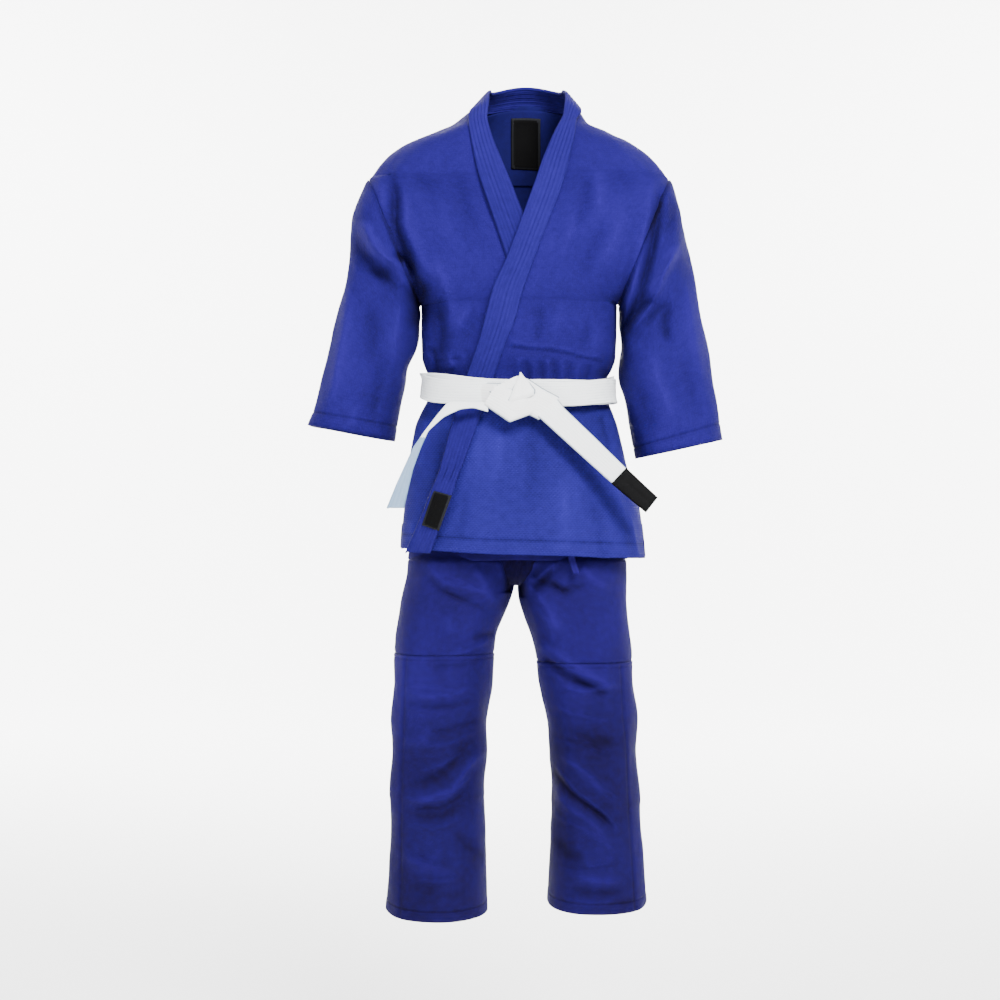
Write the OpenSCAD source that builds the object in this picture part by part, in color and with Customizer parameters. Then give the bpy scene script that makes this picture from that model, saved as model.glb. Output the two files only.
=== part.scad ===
// Judo uniform: wrap jacket, tied belt and drawstring trousers, worn shape.
// Origin: centre of the neck opening at the level of the shoulder seams.
// +Z up, -Y is the front, +X is the wearer's left. Millimetres.

/* [Cloth] */
// Thickness of the jacket cloth
cloth_t = 3; // [2.4:0.2:3.4]
// Thickness of the trouser cloth
trouser_t = 2.6; // [2:0.2:3.2]
// Thickness of the stitched lapel band
lapel_t = 6; // [5:0.5:6.5]

/* [Belt] */
// Width of the belt
belt_w = 38; // [36:1:39]
// Thickness of one belt layer
belt_t = 3.2; // [2.6:0.2:3.4]

/* [Detail] */
// Columns across each front or back panel
cols = 10; // [10:2:18]
// Facets round a sleeve or a leg
tube_n = 22; // [20:2:30]

/* [Colours] */
// Colour of the cloth
cloth_colour = "#2b36a0"; // ["#2b36a0", "#f2f2ee"]
// Colour of the belt
belt_colour = "#eef4f6"; // ["#eef4f6", "#222222"]

/* [Hidden] */
eps = 0.01;

// ---------- tables (z against a size), all in mm ----------
// jacket body: half width, half depth, centre x, centre y, corner power, upward lean of the cloth
HW = [[-690, 194], [-660, 192], [-615, 187], [-550, 174], [-520, 168], [-488, 161], [-466, 152], [-446, 142], [-412, 140], [-406, 146], [-386, 154], [-345, 156], [-300, 156], [-192, 200], [-104, 238], [-96, 236], [-80, 224], [-61, 206], [-43, 180], [-22, 130], [-14, 110], [0, 97], [14, 84]];
HD = [[-690, 150], [-615, 142], [-530, 131], [-488, 120.5], [-466, 114.5], [-446, 113], [-412, 112], [-386, 120], [-345, 123], [-300, 124], [-192, 121], [-104, 114], [-80, 108], [-43, 100], [-14, 94], [14, 86]];
CX = [[-690, 6], [-615, 5], [-550, -2], [-488, -4], [-446, -2], [-412, 0], [-300, 1], [-60, 0], [-14, 3], [14, 12]];
CY = [[-690, 0], [-200, 0], [-27, 6], [14, 9]];
PW = [[-690, 0.86], [-430, 0.9], [-300, 0.82], [-250, 0.66], [-104, 0.62], [-48, 0.75], [14, 0.95]];
NZ = [[-690, 0], [-110, 0], [-88, 0.7], [-20, 0.85], [14, 0.8]];
LIFT = [[-690, 0], [-70, 0], [14, 28]];
// x of the two edges of each lapel
LL_IN = [[-690, -176], [-630, -150], [-593, -136], [-562, -123], [-491, -105], [-412, -81], [-361, -62], [-331, -55], [-276, -40], [-236, -20], [-174, 3], [-110, 26], [-45, 53], [0, 78]];
LL_OUT = [[-690, -136], [-671, -129], [-614, -106], [-580, -97], [-550, -85], [-501, -67], [-466, -55], [-412, -37], [-361, -19], [-331, -6], [-290, 4], [-210, 33], [-133, 63], [-90, 76], [-45, 87], [0, 92]];
LR_IN = [[-690, 170], [-470, 112], [-395, 85], [-310, 60], [-225, 30], [-151, 1], [-96, -20], [-44, -42], [-7, -54]];
LR_OUT = [[-690, 130], [-470, 66], [-395, 36], [-310, 4], [-225, -23], [-156, -46], [-105, -63], [-57, -74], [-22, -80], [0, -80]];

function spw(v, p) = sign(v) * pow(abs(v), p);
function S(a, z, o) = [lookup(z, CX) + (lookup(z, HW) + o) * spw(cos(a), lookup(z, PW)),
                       lookup(z, CY) + (lookup(z, HD) + o) * spw(sin(a), lookup(z, PW)),
                       z + o * lookup(z, NZ) + lookup(z, LIFT) * pow(max(0, sin(a)), 2)];
// the angle on the front half where the body has a given x
function front_angle(x, z, o) =
    let (v = (x - lookup(z, CX)) / (lookup(z, HW) + o), c = spw(max(-0.999, min(0.999, v)), 1 / lookup(z, PW)))
    -acos(c);
function lerp(a, b, t) = a + (b - a) * t;
function ease(t) = let (c = max(0, min(1, t))) c * c * (3 - 2 * c);

// ---------- solids from rings ----------
// A ring is m outer points then m inner points in reverse, so each ring is one strip.
module strip_solid(outer, inner) {
    n = len(outer); m = len(outer[0]);
    pts = concat([for (r = outer) each r], [for (r = inner) each r]);
    o = function(i, j) i * m + j;
    q = function(i, j) n * m + i * m + j;
    polyhedron(points = pts, convexity = 6, faces = concat(
        [for (i = [0:n-2], j = [0:m-2]) each [[o(i,j), o(i,j+1), o(i+1,j+1)], [o(i,j), o(i+1,j+1), o(i+1,j)]]],
        [for (i = [0:n-2], j = [0:m-2]) each [[q(i,j), q(i+1,j+1), q(i,j+1)], [q(i,j), q(i+1,j), q(i+1,j+1)]]],
        [for (j = [0:m-2]) each [[o(0,j), q(0,j), q(0,j+1)], [o(0,j), q(0,j+1), o(0,j+1)]]],
        [for (j = [0:m-2]) each [[o(n-1,j), q(n-1,j+1), q(n-1,j)], [o(n-1,j), o(n-1,j+1), q(n-1,j+1)]]],
        [for (i = [0:n-2]) each [[o(i,0), o(i+1,0), q(i+1,0)], [o(i,0), q(i+1,0), q(i,0)]]],
        [for (i = [0:n-2]) each [[o(i,m-1), q(i+1,m-1), o(i+1,m-1)], [o(i,m-1), q(i,m-1), q(i+1,m-1)]]]));
}
// The same for a tube: rings close on themselves.
module tube_solid(outer, inner) {
    n = len(outer); m = len(outer[0]);
    pts = concat([for (r = outer) each r], [for (r = inner) each r]);
    o = function(i, j) i * m + (j % m);
    q = function(i, j) n * m + i * m + (j % m);
    polyhedron(points = pts, convexity = 6, faces = concat(
        [for (i = [0:n-2], j = [0:m-1]) each [[o(i,j), o(i,j+1), o(i+1,j+1)], [o(i,j), o(i+1,j+1), o(i+1,j)]]],
        [for (i = [0:n-2], j = [0:m-1]) each [[q(i,j), q(i+1,j+1), q(i,j+1)], [q(i,j), q(i+1,j), q(i+1,j+1)]]],
        [for (j = [0:m-1]) each [[o(0,j), q(0,j), q(0,j+1)], [o(0,j), q(0,j+1), o(0,j+1)]]],
        [for (j = [0:m-1]) each [[o(n-1,j), q(n-1,j+1), q(n-1,j)], [o(n-1,j), o(n-1,j+1), q(n-1,j+1)]]]));
}
// The armhole is a flat oval from the shoulder point down to the armpit: the body's side edge runs round it.
function arm_u(z) = (z + 198) / 100.5;
function arm_y(z) = abs(arm_u(z)) < 1 ? 99 * pow(1 - pow(abs(arm_u(z)), 2.3), 0.43) : 0;
function arm_x(z) = 197 + (z + 198) * 0.41;
function edge_angle(z) = max(0.7, asin(pow(arm_y(z) / lookup(z, HD), 1 / lookup(z, PW))));
function to_arm(a, z, t) = abs(arm_u(z)) < 1
    ? let (w = ease((t - 0.35) / 0.65), e = S(edge_angle(z), z, 0)) [sign(cos(a)) * w * (arm_x(z) - e[0] + lookup(z, CX)), 0, 0] : [0, 0, 0];
// A panel on the jacket body: rows of z, angle limits by row, its outer offset, and which end meets the arm.
module panel(zs, a0, a1, off, t, m = cols, arm0 = false, arm1 = false) {
    g = function(z, j, d) let (a = lerp(a0(z), a1(z), j / m), o = off(a, z))
        S(a, z, o - d) + (arm0 && j < m / 2 ? to_arm(a, z, 1 - (arm1 ? 2 : 1) * j / m) : [0, 0, 0]) + (arm1 && j > (arm0 ? m / 2 : -1) ? to_arm(a, z, arm0 ? 2 * j / m - 1 : j / m) : [0, 0, 0])
        + (arm0 && !arm1 && j >= m / 2 ? to_arm(a, z, 1 - j / m) : [0, 0, 0]);
    strip_solid([for (z = zs) [for (j = [0:m]) g(z, j, 0)]], [for (z = zs) [for (j = [0:m]) g(z, j, t)]]);
}

// ---------- jacket ----------
BODY_Z = [14, 0, -14, -28, -43, -61, -80, -97, -104, -118, -138, -168, -200, -232, -262, -284, -299, -345, -386, -406, -412, -420, -446, -464.5];
// the right front dips under the left one
function dip(a, z) = -11.5 * ease((a + 180 - edge_angle(z)) / 34);

module jacket_back_panel() color(cloth_colour)
    panel(BODY_Z, function(z) edge_angle(z), function(z) 180 - edge_angle(z), function(a, z) 0, cloth_t, cols + 4, true, true);
module jacket_front_left() color(cloth_colour)
    panel([for (z = BODY_Z) if (z <= 0) z], function(z) front_angle(lookup(z, LL_IN) + 8, z, 0),
          function(z) -edge_angle(z), function(a, z) 0, cloth_t, cols, false, true);
module jacket_front_right() color(cloth_colour)
    panel([for (z = BODY_Z) if (z <= 0) z], function(z) -180 + edge_angle(z),
          function(z) front_angle(lookup(z, LR_IN) - 8, z, -11), function(a, z) dip(a, z), cloth_t, cols, true, false);
module shoulder_yoke() color(cloth_colour)
    panel([12, 4, -3, -14, -28, -43, -61, -80], function(z) 16, function(z) 164, function(a, z) -cloth_t - 1, 1.8, cols + 2);

// Lapels: stations of points across the band, from the neck down
LAP_N = 6;
module band(st) strip_solid([for (s = st) s[0]], [for (s = st) s[1]]);
function on_front(x, z, o) = S(front_angle(x, z, o), z, o);
function station(xi, xo, z, o1, t) = let (a = min(xi, xo), b = max(xi, xo))
    [[for (k = [0:LAP_N]) on_front(lerp(a, b, k / LAP_N), z, o1 + t)], [for (k = [0:LAP_N]) on_front(lerp(a, b, k / LAP_N), z, o1)]];
function corners(o0, o1, i0, i1) = [[for (k = [0:LAP_N]) lerp(o0, o1, k / LAP_N)], [for (k = [0:LAP_N]) lerp(i0, i1, k / LAP_N)]];
UP_Z = [-14, -28, -43, -61, -80, -104, -138, -168, -200, -232, -262, -299, -345, -386, -406, -412, -420, -433, -446, -455, -464];
LOW_Z = [-466.9, -477, -488, -520, -560, -600, -640, -684];
module lapel_left_upper() color(cloth_colour) band(concat(
    [corners([71, 12, 52], [97, 12, 21], [65, 12, 47], [90.5, 12, 18]),
     corners([75, -24, 42], [100, -28, 11], [69, -22, 38], [93.5, -26, 8]),
     corners([75, -56, 22], [101, -60, 1], [70, -50, 19], [95, -54, -1])],
    [for (z = UP_Z) station(lookup(z, LL_IN), lookup(z, LL_OUT), z, lookup(z, [[-390, 1.8], [-92, 1.8], [-27, 2.6]]), lapel_t)]));
module lapel_right_upper() color(cloth_colour) band(concat(
    [corners([-72, 12, 21], [-45, 12, 52], [-65.5, 12, 18], [-39, 12, 47]),
     corners([-76, -28, 11], [-48, -24, 42], [-69, -26, 8], [-42, -22, 38]),
     corners([-81, -60, 4], [-46, -56, 22], [-75, -54, 2.5], [-41, -50, 19])],
    [for (z = UP_Z) station(lookup(z, LR_OUT), lookup(z, LR_IN), z, lookup(z, [[-500, -9.6], [-150, -9.6], [-48, -4], [-8, 2.6]]), lapel_t - 1.2)]));
// the standing collar behind the neck
module collar_back() color(cloth_colour) {
    a = [for (k = [0:14]) lerp(1.5, 178.5, k / 14)];
    base = function(a, o) [12.5 + (78 + o) * cos(a), 12.5 + (84 + o) * sin(a), 18 + 28 * pow(sin(a), 2)];
    top = function(a, o) [12.5 + (54 + o) * cos(a), 12.5 + (64 + o) * sin(a), 50 + 20 * pow(sin(a), 2)];
    strip_solid([[for (v = a) top(v, 6)], [for (v = a) lerp(top(v, 6), base(v, 7), 0.5) + [0, 0, 1]], [for (v = a) base(v, 7)]],
                [[for (v = a) top(v, 0)], [for (v = a) lerp(top(v, 0), base(v, 1), 0.5) + [0, 0, 1]], [for (v = a) base(v, 1)]]);
}
module neck_label() color("#0b0b0d")
    panel([4, -14, -36, -58], function(z) -front_angle(39, z, 0), function(z) -front_angle(-13, z, 0), function(a, z) -cloth_t - 3.8, 0.8, 5);

// ---------- skirt ----------
SK_Z = [-466.5, -477, -488, -520, -560, -600, -640, -686];
module skirt_front_left() color(cloth_colour)
    panel(SK_Z, function(z) front_angle(lookup(z, LL_IN) + 8, z, 0), function(z) -6, function(a, z) 0, cloth_t);
module skirt_front_right() color(cloth_colour)
    panel(SK_Z, function(z) -174, function(z) front_angle(lookup(z, LR_IN) - 8, z, -11), function(a, z) -11.5 * ease((a + 172) / 30), cloth_t);
module skirt_back() color(cloth_colour)
    panel(SK_Z, function(z) 6, function(z) 174, function(a, z) 0, cloth_t, cols + 2);
module lapel_left_lower() color(cloth_colour)
    band([for (z = LOW_Z) station(lookup(z, LL_IN), lookup(z, LL_OUT), z, 1.5, lapel_t)]);
module lapel_right_lower() color(cloth_colour)
    band([for (z = LOW_Z) station(lookup(z, LR_OUT), lookup(z, LR_IN), z, -9.6, lapel_t - 1.4)]);
module lapel_patch() color("#0b0b0d")
    band([for (k = [0:4]) let (z = lerp(-597, -652, k / 4), x0 = lookup(z, LL_IN), x1 = lookup(z, LL_OUT))
        station(lerp(x0, x1, 0.16), lerp(x0, x1, 0.88), z, lapel_t + 2, 1)]);
// cloth reinforcement at the top of each side slit
module vent_patch(a0, a1)
    panel([-648, -666, -684], function(z) a0, function(z) a1, function(a, z) 2, 1.6, 3);
module side_vent_patches_front() color(cloth_colour) { vent_patch(-14, -7); }
module side_vent_patches_back() color(cloth_colour) { vent_patch(7, 14); vent_patch(166, 173); }

// ---------- belt ----------
BZ = -430;
module belt_ring(o) {
    n = 48;
    ring = function(z, k) [for (j = [0:n-1]) let (a = j * 360 / n) S(a, z + 12 * min(0, sin(a)) - 3.5 * cos(a), k)];
    rows = [for (t = [0.5, 0.2, -0.1, -0.3, -0.5]) BZ + t * belt_w];
    tube_solid([for (z = rows) ring(z, o + belt_t)], [for (z = rows) ring(z, o)]);
}
module belt_inner_wrap() color(belt_colour) belt_ring(8.8);
module belt_outer_wrap() color(belt_colour) belt_ring(9.2 + belt_t);
// a flat strap along points, w wide across its own width vectors
module strap(path, wide, t) {
    n = len(path);
    nrm = [for (i = [0:n-1]) let (d = path[min(i+1, n-1)] - path[max(i-1, 0)], c = cross(d, wide[i])) c / norm(c)];
    strip_solid([for (i = [0:n-1]) [for (s = [-0.5, 0, 0.5]) path[i] + wide[i] * s + nrm[i] * t / 2]],
                [for (i = [0:n-1]) [for (s = [-0.5, 0, 0.5]) path[i] + wide[i] * s - nrm[i] * t / 2]]);
}
module belt_knot() color(belt_colour)
    hull() {
        translate([-40, -131.6, -446]) rotate([90, 0, 0]) cylinder(h = 5, r = 15, $fn = 24);
        translate([18, -131.6, -447]) rotate([90, 0, 0]) cylinder(h = 5, r = 14, $fn = 24);
        translate([-15, -133, -475]) rotate([90, 0, 0]) cylinder(h = 8, r = 14, $fn = 24);
        translate([0, -131.6, -427]) rotate([90, 0, 0]) cylinder(h = 15, r = 12, $fn = 24);
        translate([-6, -131.6, -448]) rotate([90, 0, 0]) cylinder(h = 22, r = 13, $fn = 24);
    }
TAIL_L = [[48, -147, -473], [66, -147, -492], [92, -149, -516], [120, -151, -542], [136, -151.5, -556.5], [150, -152, -569]];
TAIL_L_W = [for (i = [0:5]) belt_w * [0.68, 0, 0.73]];
module belt_tail_left() color(belt_colour) strap(TAIL_L, TAIL_L_W, 4.4);
module belt_end_label() color("#0b0b0d")
    strap([for (t = [0, 0.5, 1]) lerp([151.3, -152, -570.3], [202, -151, -615], t)], [for (i = [0:2]) (belt_w + 2) * [0.7, 0, 0.71]], 6.4);
TAIL_R = [[-72, -147, -452], [-110, -149, -468], [-134, -147, -494], [-154, -143, -528], [-171, -138, -570], [-189, -133, -618]];
TAIL_R_W = [belt_w * [0.5, 0, -0.87], belt_w * [0.68, -0.1, -0.72], belt_w * [0.74, -0.3, -0.6], belt_w * [0.74, -0.5, -0.45], belt_w * [0.74, -0.6, -0.32], belt_w * [0.76, -0.63, -0.2]];
module belt_tail_right() color(belt_colour) strap(TAIL_R, TAIL_R_W, 4.4);

// ---------- sleeves ----------
// rows: outer edge x,z then inner edge x,z then half depth
SL_L = [[242, -98, 160, -298, 100], [257, -136, 161, -318, 97], [264, -165, 161, -336, 93], [268, -205, 160, -358, 89], [283, -286, 160, -400, 83], [300, -370, 164, -440, 80], [318, -456, 179, -506, 79], [325, -512, 187, -542, 79]];
SL_R = [[-242, -98, -158, -300, 100], [-260, -140, -158, -318, 97], [-267, -173, -160, -334, 93], [-269, -220, -164, -350, 89], [-283, -286, -172, -380, 83], [-301, -354, -180, -410, 80], [-326, -458, -193, -480, 79], [-338, -488, -199, -514, 79]];
// a ring of a sleeve or cuff, at a depth k inside its outer face
function sleeve_ring(r, k) =
    let (A = [r[0], 0, r[1]], B = [r[2], 0, r[3]], c = (A + B) / 2, h = (A - B) / 2, u = h / norm(h), s = sign(r[0]))
    [for (j = [0:tube_n-1]) let (f = j * 360 / tube_n) c + (norm(h) - k) * spw(cos(f), 0.86) * u + [0, s * (r[4] - k) * spw(sin(f), 0.86), 0]];
module sleeve(T) tube_solid([for (r = T) sleeve_ring(r, 0)], [for (r = T) sleeve_ring(r, cloth_t)]);
module cuff(T) {
    a = T[6]; b = T[7];
    rows = [for (t = [0.25, 0.6, 0.96]) lerp(a, b, t)];
    tube_solid([for (r = rows) sleeve_ring(r, cloth_t + 0.4)], [for (r = rows) sleeve_ring(r, cloth_t + 2.6)]);
}
module sleeve_left() color(cloth_colour) sleeve(SL_L);
module sleeve_right() color(cloth_colour) sleeve(SL_R);
module cuff_left() color(cloth_colour) cuff(SL_L);
module cuff_right() color(cloth_colour) cuff(SL_R);

// ---------- trousers ----------
HIP = [[-398, 126, 86], [-432, 127, 87], [-466, 131, 89], [-488, 137, 94], [-560, 150, 102], [-640, 165, 107], [-690, 172, 109], [-721, 176, 110]];
function hip_ring(r, k, n = 40) = [for (j = [0:n-1]) let (a = j * 360 / n)
    [-2 + (r[1] - k) * spw(cos(a), 0.86), (r[2] - k) * spw(sin(a), 0.86), r[0]]];
module trouser_hips() color(cloth_colour)
    tube_solid([for (r = HIP) hip_ring(r, 0)], [for (r = HIP) hip_ring(r, trouser_t)]);
module trouser_waistband() color(cloth_colour) {
    rows = [[-399, 126, 86], [-416, 126.5, 86.5], [-438, 127.5, 87.2]];
    tube_solid([for (r = rows) hip_ring(r, trouser_t + 0.4)], [for (r = rows) hip_ring(r, trouser_t + 3)]);
}
module crotch_gusset() color(cloth_colour)
    hull() {
        translate([-3, -84, -722.6]) cylinder(h = 2, r = 3, $fn = 24);
        translate([-3, 84, -722.6]) cylinder(h = 2, r = 3, $fn = 24);
        translate([-30, 0, -720.8]) cylinder(h = 2, r = 5, $fn = 24);
        translate([24, 0, -720.8]) cylinder(h = 2, r = 5, $fn = 24);
    }
// Flat woven drawstring: round the waist inside the band, tied in front, two ends hanging inside the skirt.
DS_A = [[4, -90.5, -429], [14, -92.5, -450], [32, -100, -500], [50, -108.5, -560], [66, -115, -620], [77, -118, -680], [84, -118.5, -717]];
DS_B = [[-12, -90.5, -429], [-20, -92.5, -450], [-34, -100, -500], [-44, -107.5, -560], [-48, -111, -600]];
module drawstring() color(cloth_colour) {
    strap([[-34, -92, -422], [-18, -92.8, -420], [10, -92.8, -420], [28, -92.2, -422]], [for (i = [0:3]) [0, 0, 12]], 2);
    strap(DS_A, [for (i = [0:6]) [12, 0, 2]], 2);
    strap(DS_B, [for (i = [0:4]) [12, 0, -2]], 2);
}
// legs: z, centre x, half width, half depth
LEG_L = [[-725, 87, 86, 109], [-763, 88, 85, 104], [-818, 99, 79, 97], [-872, 107, 75, 91], [-944, 115, 72, 86], [-966, 117, 70, 85], [-1010, 119, 68, 83], [-1060, 121, 69, 82], [-1128, 123, 73, 83], [-1176, 125, 76, 85], [-1246, 126, 80, 88]];
LEG_R = [[-725, -92, 86, 109], [-763, -102, 86, 104], [-818, -115, 80, 97], [-872, -121, 77, 91], [-944, -125, 75, 86], [-966, -127, 74, 85], [-1010, -128, 73, 83], [-1060, -130, 73, 82], [-1128, -130, 75, 83], [-1176, -130, 78, 85], [-1258, -131, 82, 89]];
function row_at(T, z) = [z, lookup(z, [for (i = [len(T)-1:-1:0]) [T[i][0], T[i][1]]]), lookup(z, [for (i = [len(T)-1:-1:0]) [T[i][0], T[i][2]]]),
                         lookup(z, [for (i = [len(T)-1:-1:0]) [T[i][0], T[i][3]]])];
function leg_ring(T, z, k) = let (r = row_at(T, z)) [for (j = [0:tube_n-1]) let (a = j * 360 / tube_n)
    [r[1] + (r[2] - k) * spw(cos(a), 0.86), (r[3] - k) * spw(sin(a), 0.86), z]];
module leg(T, zs) tube_solid([for (z = zs) leg_ring(T, z, 0)], [for (z = zs) leg_ring(T, z, trouser_t)]);
KNEE_Z = -967;
THIGH = [-725, -763, -790, -818, -845, -872, -908, -944, KNEE_Z + 1];
SHIN_L = [KNEE_Z - 1, -990, -1010, -1060, -1094, -1128, -1176, -1210, -1246];
SHIN_R = [KNEE_Z - 1, -990, -1010, -1060, -1094, -1128, -1176, -1220, -1258];
// knee reinforcement: a second layer on the front of the leg, on the leg's own columns
module knee_patch(T, zs, j0, j1) {
    f = function(z, k) let (r = row_at(T, z)) [for (j = [j0:j1]) let (a = j * 360 / tube_n) [r[1] + (r[2] + k) * spw(cos(a), 0.86), (r[3] + k) * spw(sin(a), 0.86), z]];
    strip_solid([for (z = zs) f(z, 2.4)], [for (z = zs) f(z, 0.5)]);
}
module leg_hem(T, z1) {
    zs = [z1 + 30, z1 + 15, z1 + 1];
    tube_solid([for (z = zs) leg_ring(T, z, trouser_t + 0.4)], [for (z = zs) leg_ring(T, z, trouser_t + 2.6)]);
}
PU = [-850, -872, -908, -944, KNEE_Z + 1];
PL = [KNEE_Z - 1, -990, -1010, -1060, -1082];
module thigh_left() color(cloth_colour) leg(LEG_L, THIGH);
module thigh_right() color(cloth_colour) leg(LEG_R, THIGH);
module shin_left() color(cloth_colour) leg(LEG_L, SHIN_L);
module shin_right() color(cloth_colour) leg(LEG_R, SHIN_R);
module knee_patch_left_upper() color(cloth_colour) knee_patch(LEG_L, PU, -10, -2);
module knee_patch_right_upper() color(cloth_colour) knee_patch(LEG_R, PU, -9, -1);
module knee_patch_left_lower() color(cloth_colour) knee_patch(LEG_L, PL, -10, -2);
module knee_patch_right_lower() color(cloth_colour) knee_patch(LEG_R, PL, -9, -1);
module hem_left() color(cloth_colour) leg_hem(LEG_L, -1246);
module hem_right() color(cloth_colour) leg_hem(LEG_R, -1258);

jacket_back_panel();
jacket_front_left();
jacket_front_right();
shoulder_yoke();
collar_back();
lapel_left_upper();
lapel_right_upper();
lapel_left_lower();
lapel_right_lower();
lapel_patch();
neck_label();
skirt_front_left();
skirt_front_right();
skirt_back();
side_vent_patches_front();
side_vent_patches_back();
belt_inner_wrap();
belt_outer_wrap();
belt_knot();
belt_tail_left();
belt_tail_right();
belt_end_label();
sleeve_left();
sleeve_right();
cuff_left();
cuff_right();
trouser_waistband();
trouser_hips();
crotch_gusset();
drawstring();
thigh_left();
thigh_right();
knee_patch_left_upper();
knee_patch_right_upper();
shin_left();
shin_right();
knee_patch_left_lower();
knee_patch_right_lower();
hem_left();
hem_right();
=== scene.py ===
"""Looks for the judo uniform. Metres, +Z up, -Y is the front, +X is the wearer's left."""
import bpy
import math
import numpy as np
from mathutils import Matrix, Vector


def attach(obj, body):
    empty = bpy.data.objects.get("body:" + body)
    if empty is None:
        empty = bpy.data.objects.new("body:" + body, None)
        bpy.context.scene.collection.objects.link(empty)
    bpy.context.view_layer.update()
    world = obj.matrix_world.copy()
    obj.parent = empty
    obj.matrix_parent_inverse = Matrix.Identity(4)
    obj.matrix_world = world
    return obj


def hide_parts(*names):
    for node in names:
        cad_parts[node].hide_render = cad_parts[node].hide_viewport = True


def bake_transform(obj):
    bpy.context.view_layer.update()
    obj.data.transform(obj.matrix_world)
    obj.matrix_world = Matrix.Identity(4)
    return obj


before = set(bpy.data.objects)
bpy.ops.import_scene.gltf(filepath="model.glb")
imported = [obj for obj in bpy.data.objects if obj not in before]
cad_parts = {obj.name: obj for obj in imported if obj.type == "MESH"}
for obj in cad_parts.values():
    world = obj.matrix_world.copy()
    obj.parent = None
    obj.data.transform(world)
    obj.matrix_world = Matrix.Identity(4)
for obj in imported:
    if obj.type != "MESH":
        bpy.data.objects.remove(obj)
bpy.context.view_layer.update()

# ------------------------------------------------------------------ tables (mm), the part's own
HW = [[-690, 194], [-660, 192], [-615, 187], [-550, 174], [-520, 168], [-488, 161], [-466, 152], [-446, 142], [-412, 140], [-406, 146], [-386, 154], [-345, 156], [-300, 156], [-288, 157.8], [-272, 163.5], [-192, 200], [-104, 238], [-96, 236], [-80, 224], [-61, 206], [-43, 180], [-22, 130], [-14, 110], [0, 97], [14, 84]]
HD = [[-690, 150], [-615, 142], [-530, 131], [-488, 120.5], [-466, 114.5], [-446, 113], [-412, 112], [-386, 120], [-345, 123], [-300, 124], [-192, 121], [-104, 114], [-80, 108], [-43, 100], [-14, 94], [14, 86]]
CX = [[-690, 6], [-615, 5], [-550, -2], [-488, -4], [-446, -2], [-412, 0], [-300, 1], [-60, 0], [-14, 3], [14, 12]]
CY = [[-690, 0], [-200, 0], [-27, 6], [14, 9]]
PW = [[-690, 0.86], [-430, 0.9], [-300, 0.82], [-250, 0.66], [-104, 0.62], [-48, 0.75], [14, 0.95]]
NZ = [[-690, 0], [-110, 0], [-88, 0.7], [-20, 0.85], [14, 0.8]]
LIFT = [[-690, 0], [-70, 0], [14, 28]]
LL_IN = [[-690, -176], [-630, -150], [-593, -136], [-562, -123], [-491, -105], [-412, -81], [-361, -62], [-331, -55], [-276, -40], [-236, -20], [-174, 3], [-110, 26], [-45, 53], [0, 78]]
LL_OUT = [[-690, -136], [-671, -129], [-614, -106], [-580, -97], [-550, -85], [-501, -67], [-466, -55], [-412, -37], [-361, -19], [-331, -6], [-290, 4], [-210, 33], [-133, 63], [-90, 76], [-45, 87], [0, 92]]
LR_IN = [[-690, 170], [-470, 112], [-395, 85], [-310, 60], [-225, 30], [-151, 1], [-96, -20], [-44, -42], [-7, -54]]
LR_OUT = [[-690, 130], [-470, 66], [-395, 36], [-310, 4], [-225, -23], [-156, -46], [-105, -63], [-57, -74], [-22, -80], [0, -80]]
LR_OFF = [[-500, -4.8], [-150, -4.8], [-48, 0.8], [-8, 6.4]]
SL_L = [[242, -98, 160, -298, 100], [257, -136, 161, -318, 97], [264, -165, 161, -336, 93], [268, -205, 160, -358, 89], [283, -286, 160, -400, 83], [300, -370, 164, -440, 80], [318, -456, 179, -506, 79], [325, -512, 187, -542, 79]]
SL_R = [[-242, -98, -158, -300, 100], [-260, -140, -158, -318, 97], [-267, -173, -160, -334, 93], [-269, -220, -164, -350, 89], [-283, -286, -172, -380, 83], [-301, -354, -180, -410, 80], [-326, -458, -193, -480, 79], [-338, -488, -199, -514, 79]]
HIP = [[-398, 126, 86], [-432, 127, 87], [-466, 131, 89], [-488, 137, 94], [-560, 150, 102], [-640, 165, 107], [-690, 172, 109], [-721, 176, 110]]
LEG_L = [[-640, 86, 82, 106], [-690, 86, 85, 109], [-725, 87, 86, 109], [-763, 88, 85, 104], [-818, 99, 79, 97], [-872, 107, 75, 91], [-944, 115, 72, 86], [-966, 117, 70, 85], [-1010, 119, 68, 83], [-1060, 121, 69, 82], [-1128, 123, 73, 83], [-1176, 125, 76, 85], [-1246, 126, 80, 88]]
LEG_R = [[-640, -86, 84, 106], [-690, -90, 86, 109], [-725, -92, 86, 109], [-763, -102, 86, 104], [-818, -115, 80, 97], [-872, -121, 77, 91], [-944, -125, 75, 86], [-966, -127, 74, 85], [-1010, -128, 73, 83], [-1060, -130, 73, 82], [-1128, -130, 75, 83], [-1176, -130, 78, 85], [-1258, -131, 82, 89]]


def lk(z, T, c=1):
    T = np.array(T, float)
    o = np.argsort(T[:, 0])
    return np.interp(z, T[o, 0], T[o, c])


def soft(z, T, c=1, w=9.0):
    """table value with its corners rounded"""
    return sum(lk(np.asarray(z, float) + d * w, T, c) for d in (-1.0, -0.5, 0.0, 0.5, 1.0)) / 5


def spw(v, p):
    return np.sign(v) * np.abs(v) ** p


def ease(t):
    t = np.clip(t, 0, 1)
    return t * t * (3 - 2 * t)


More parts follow.
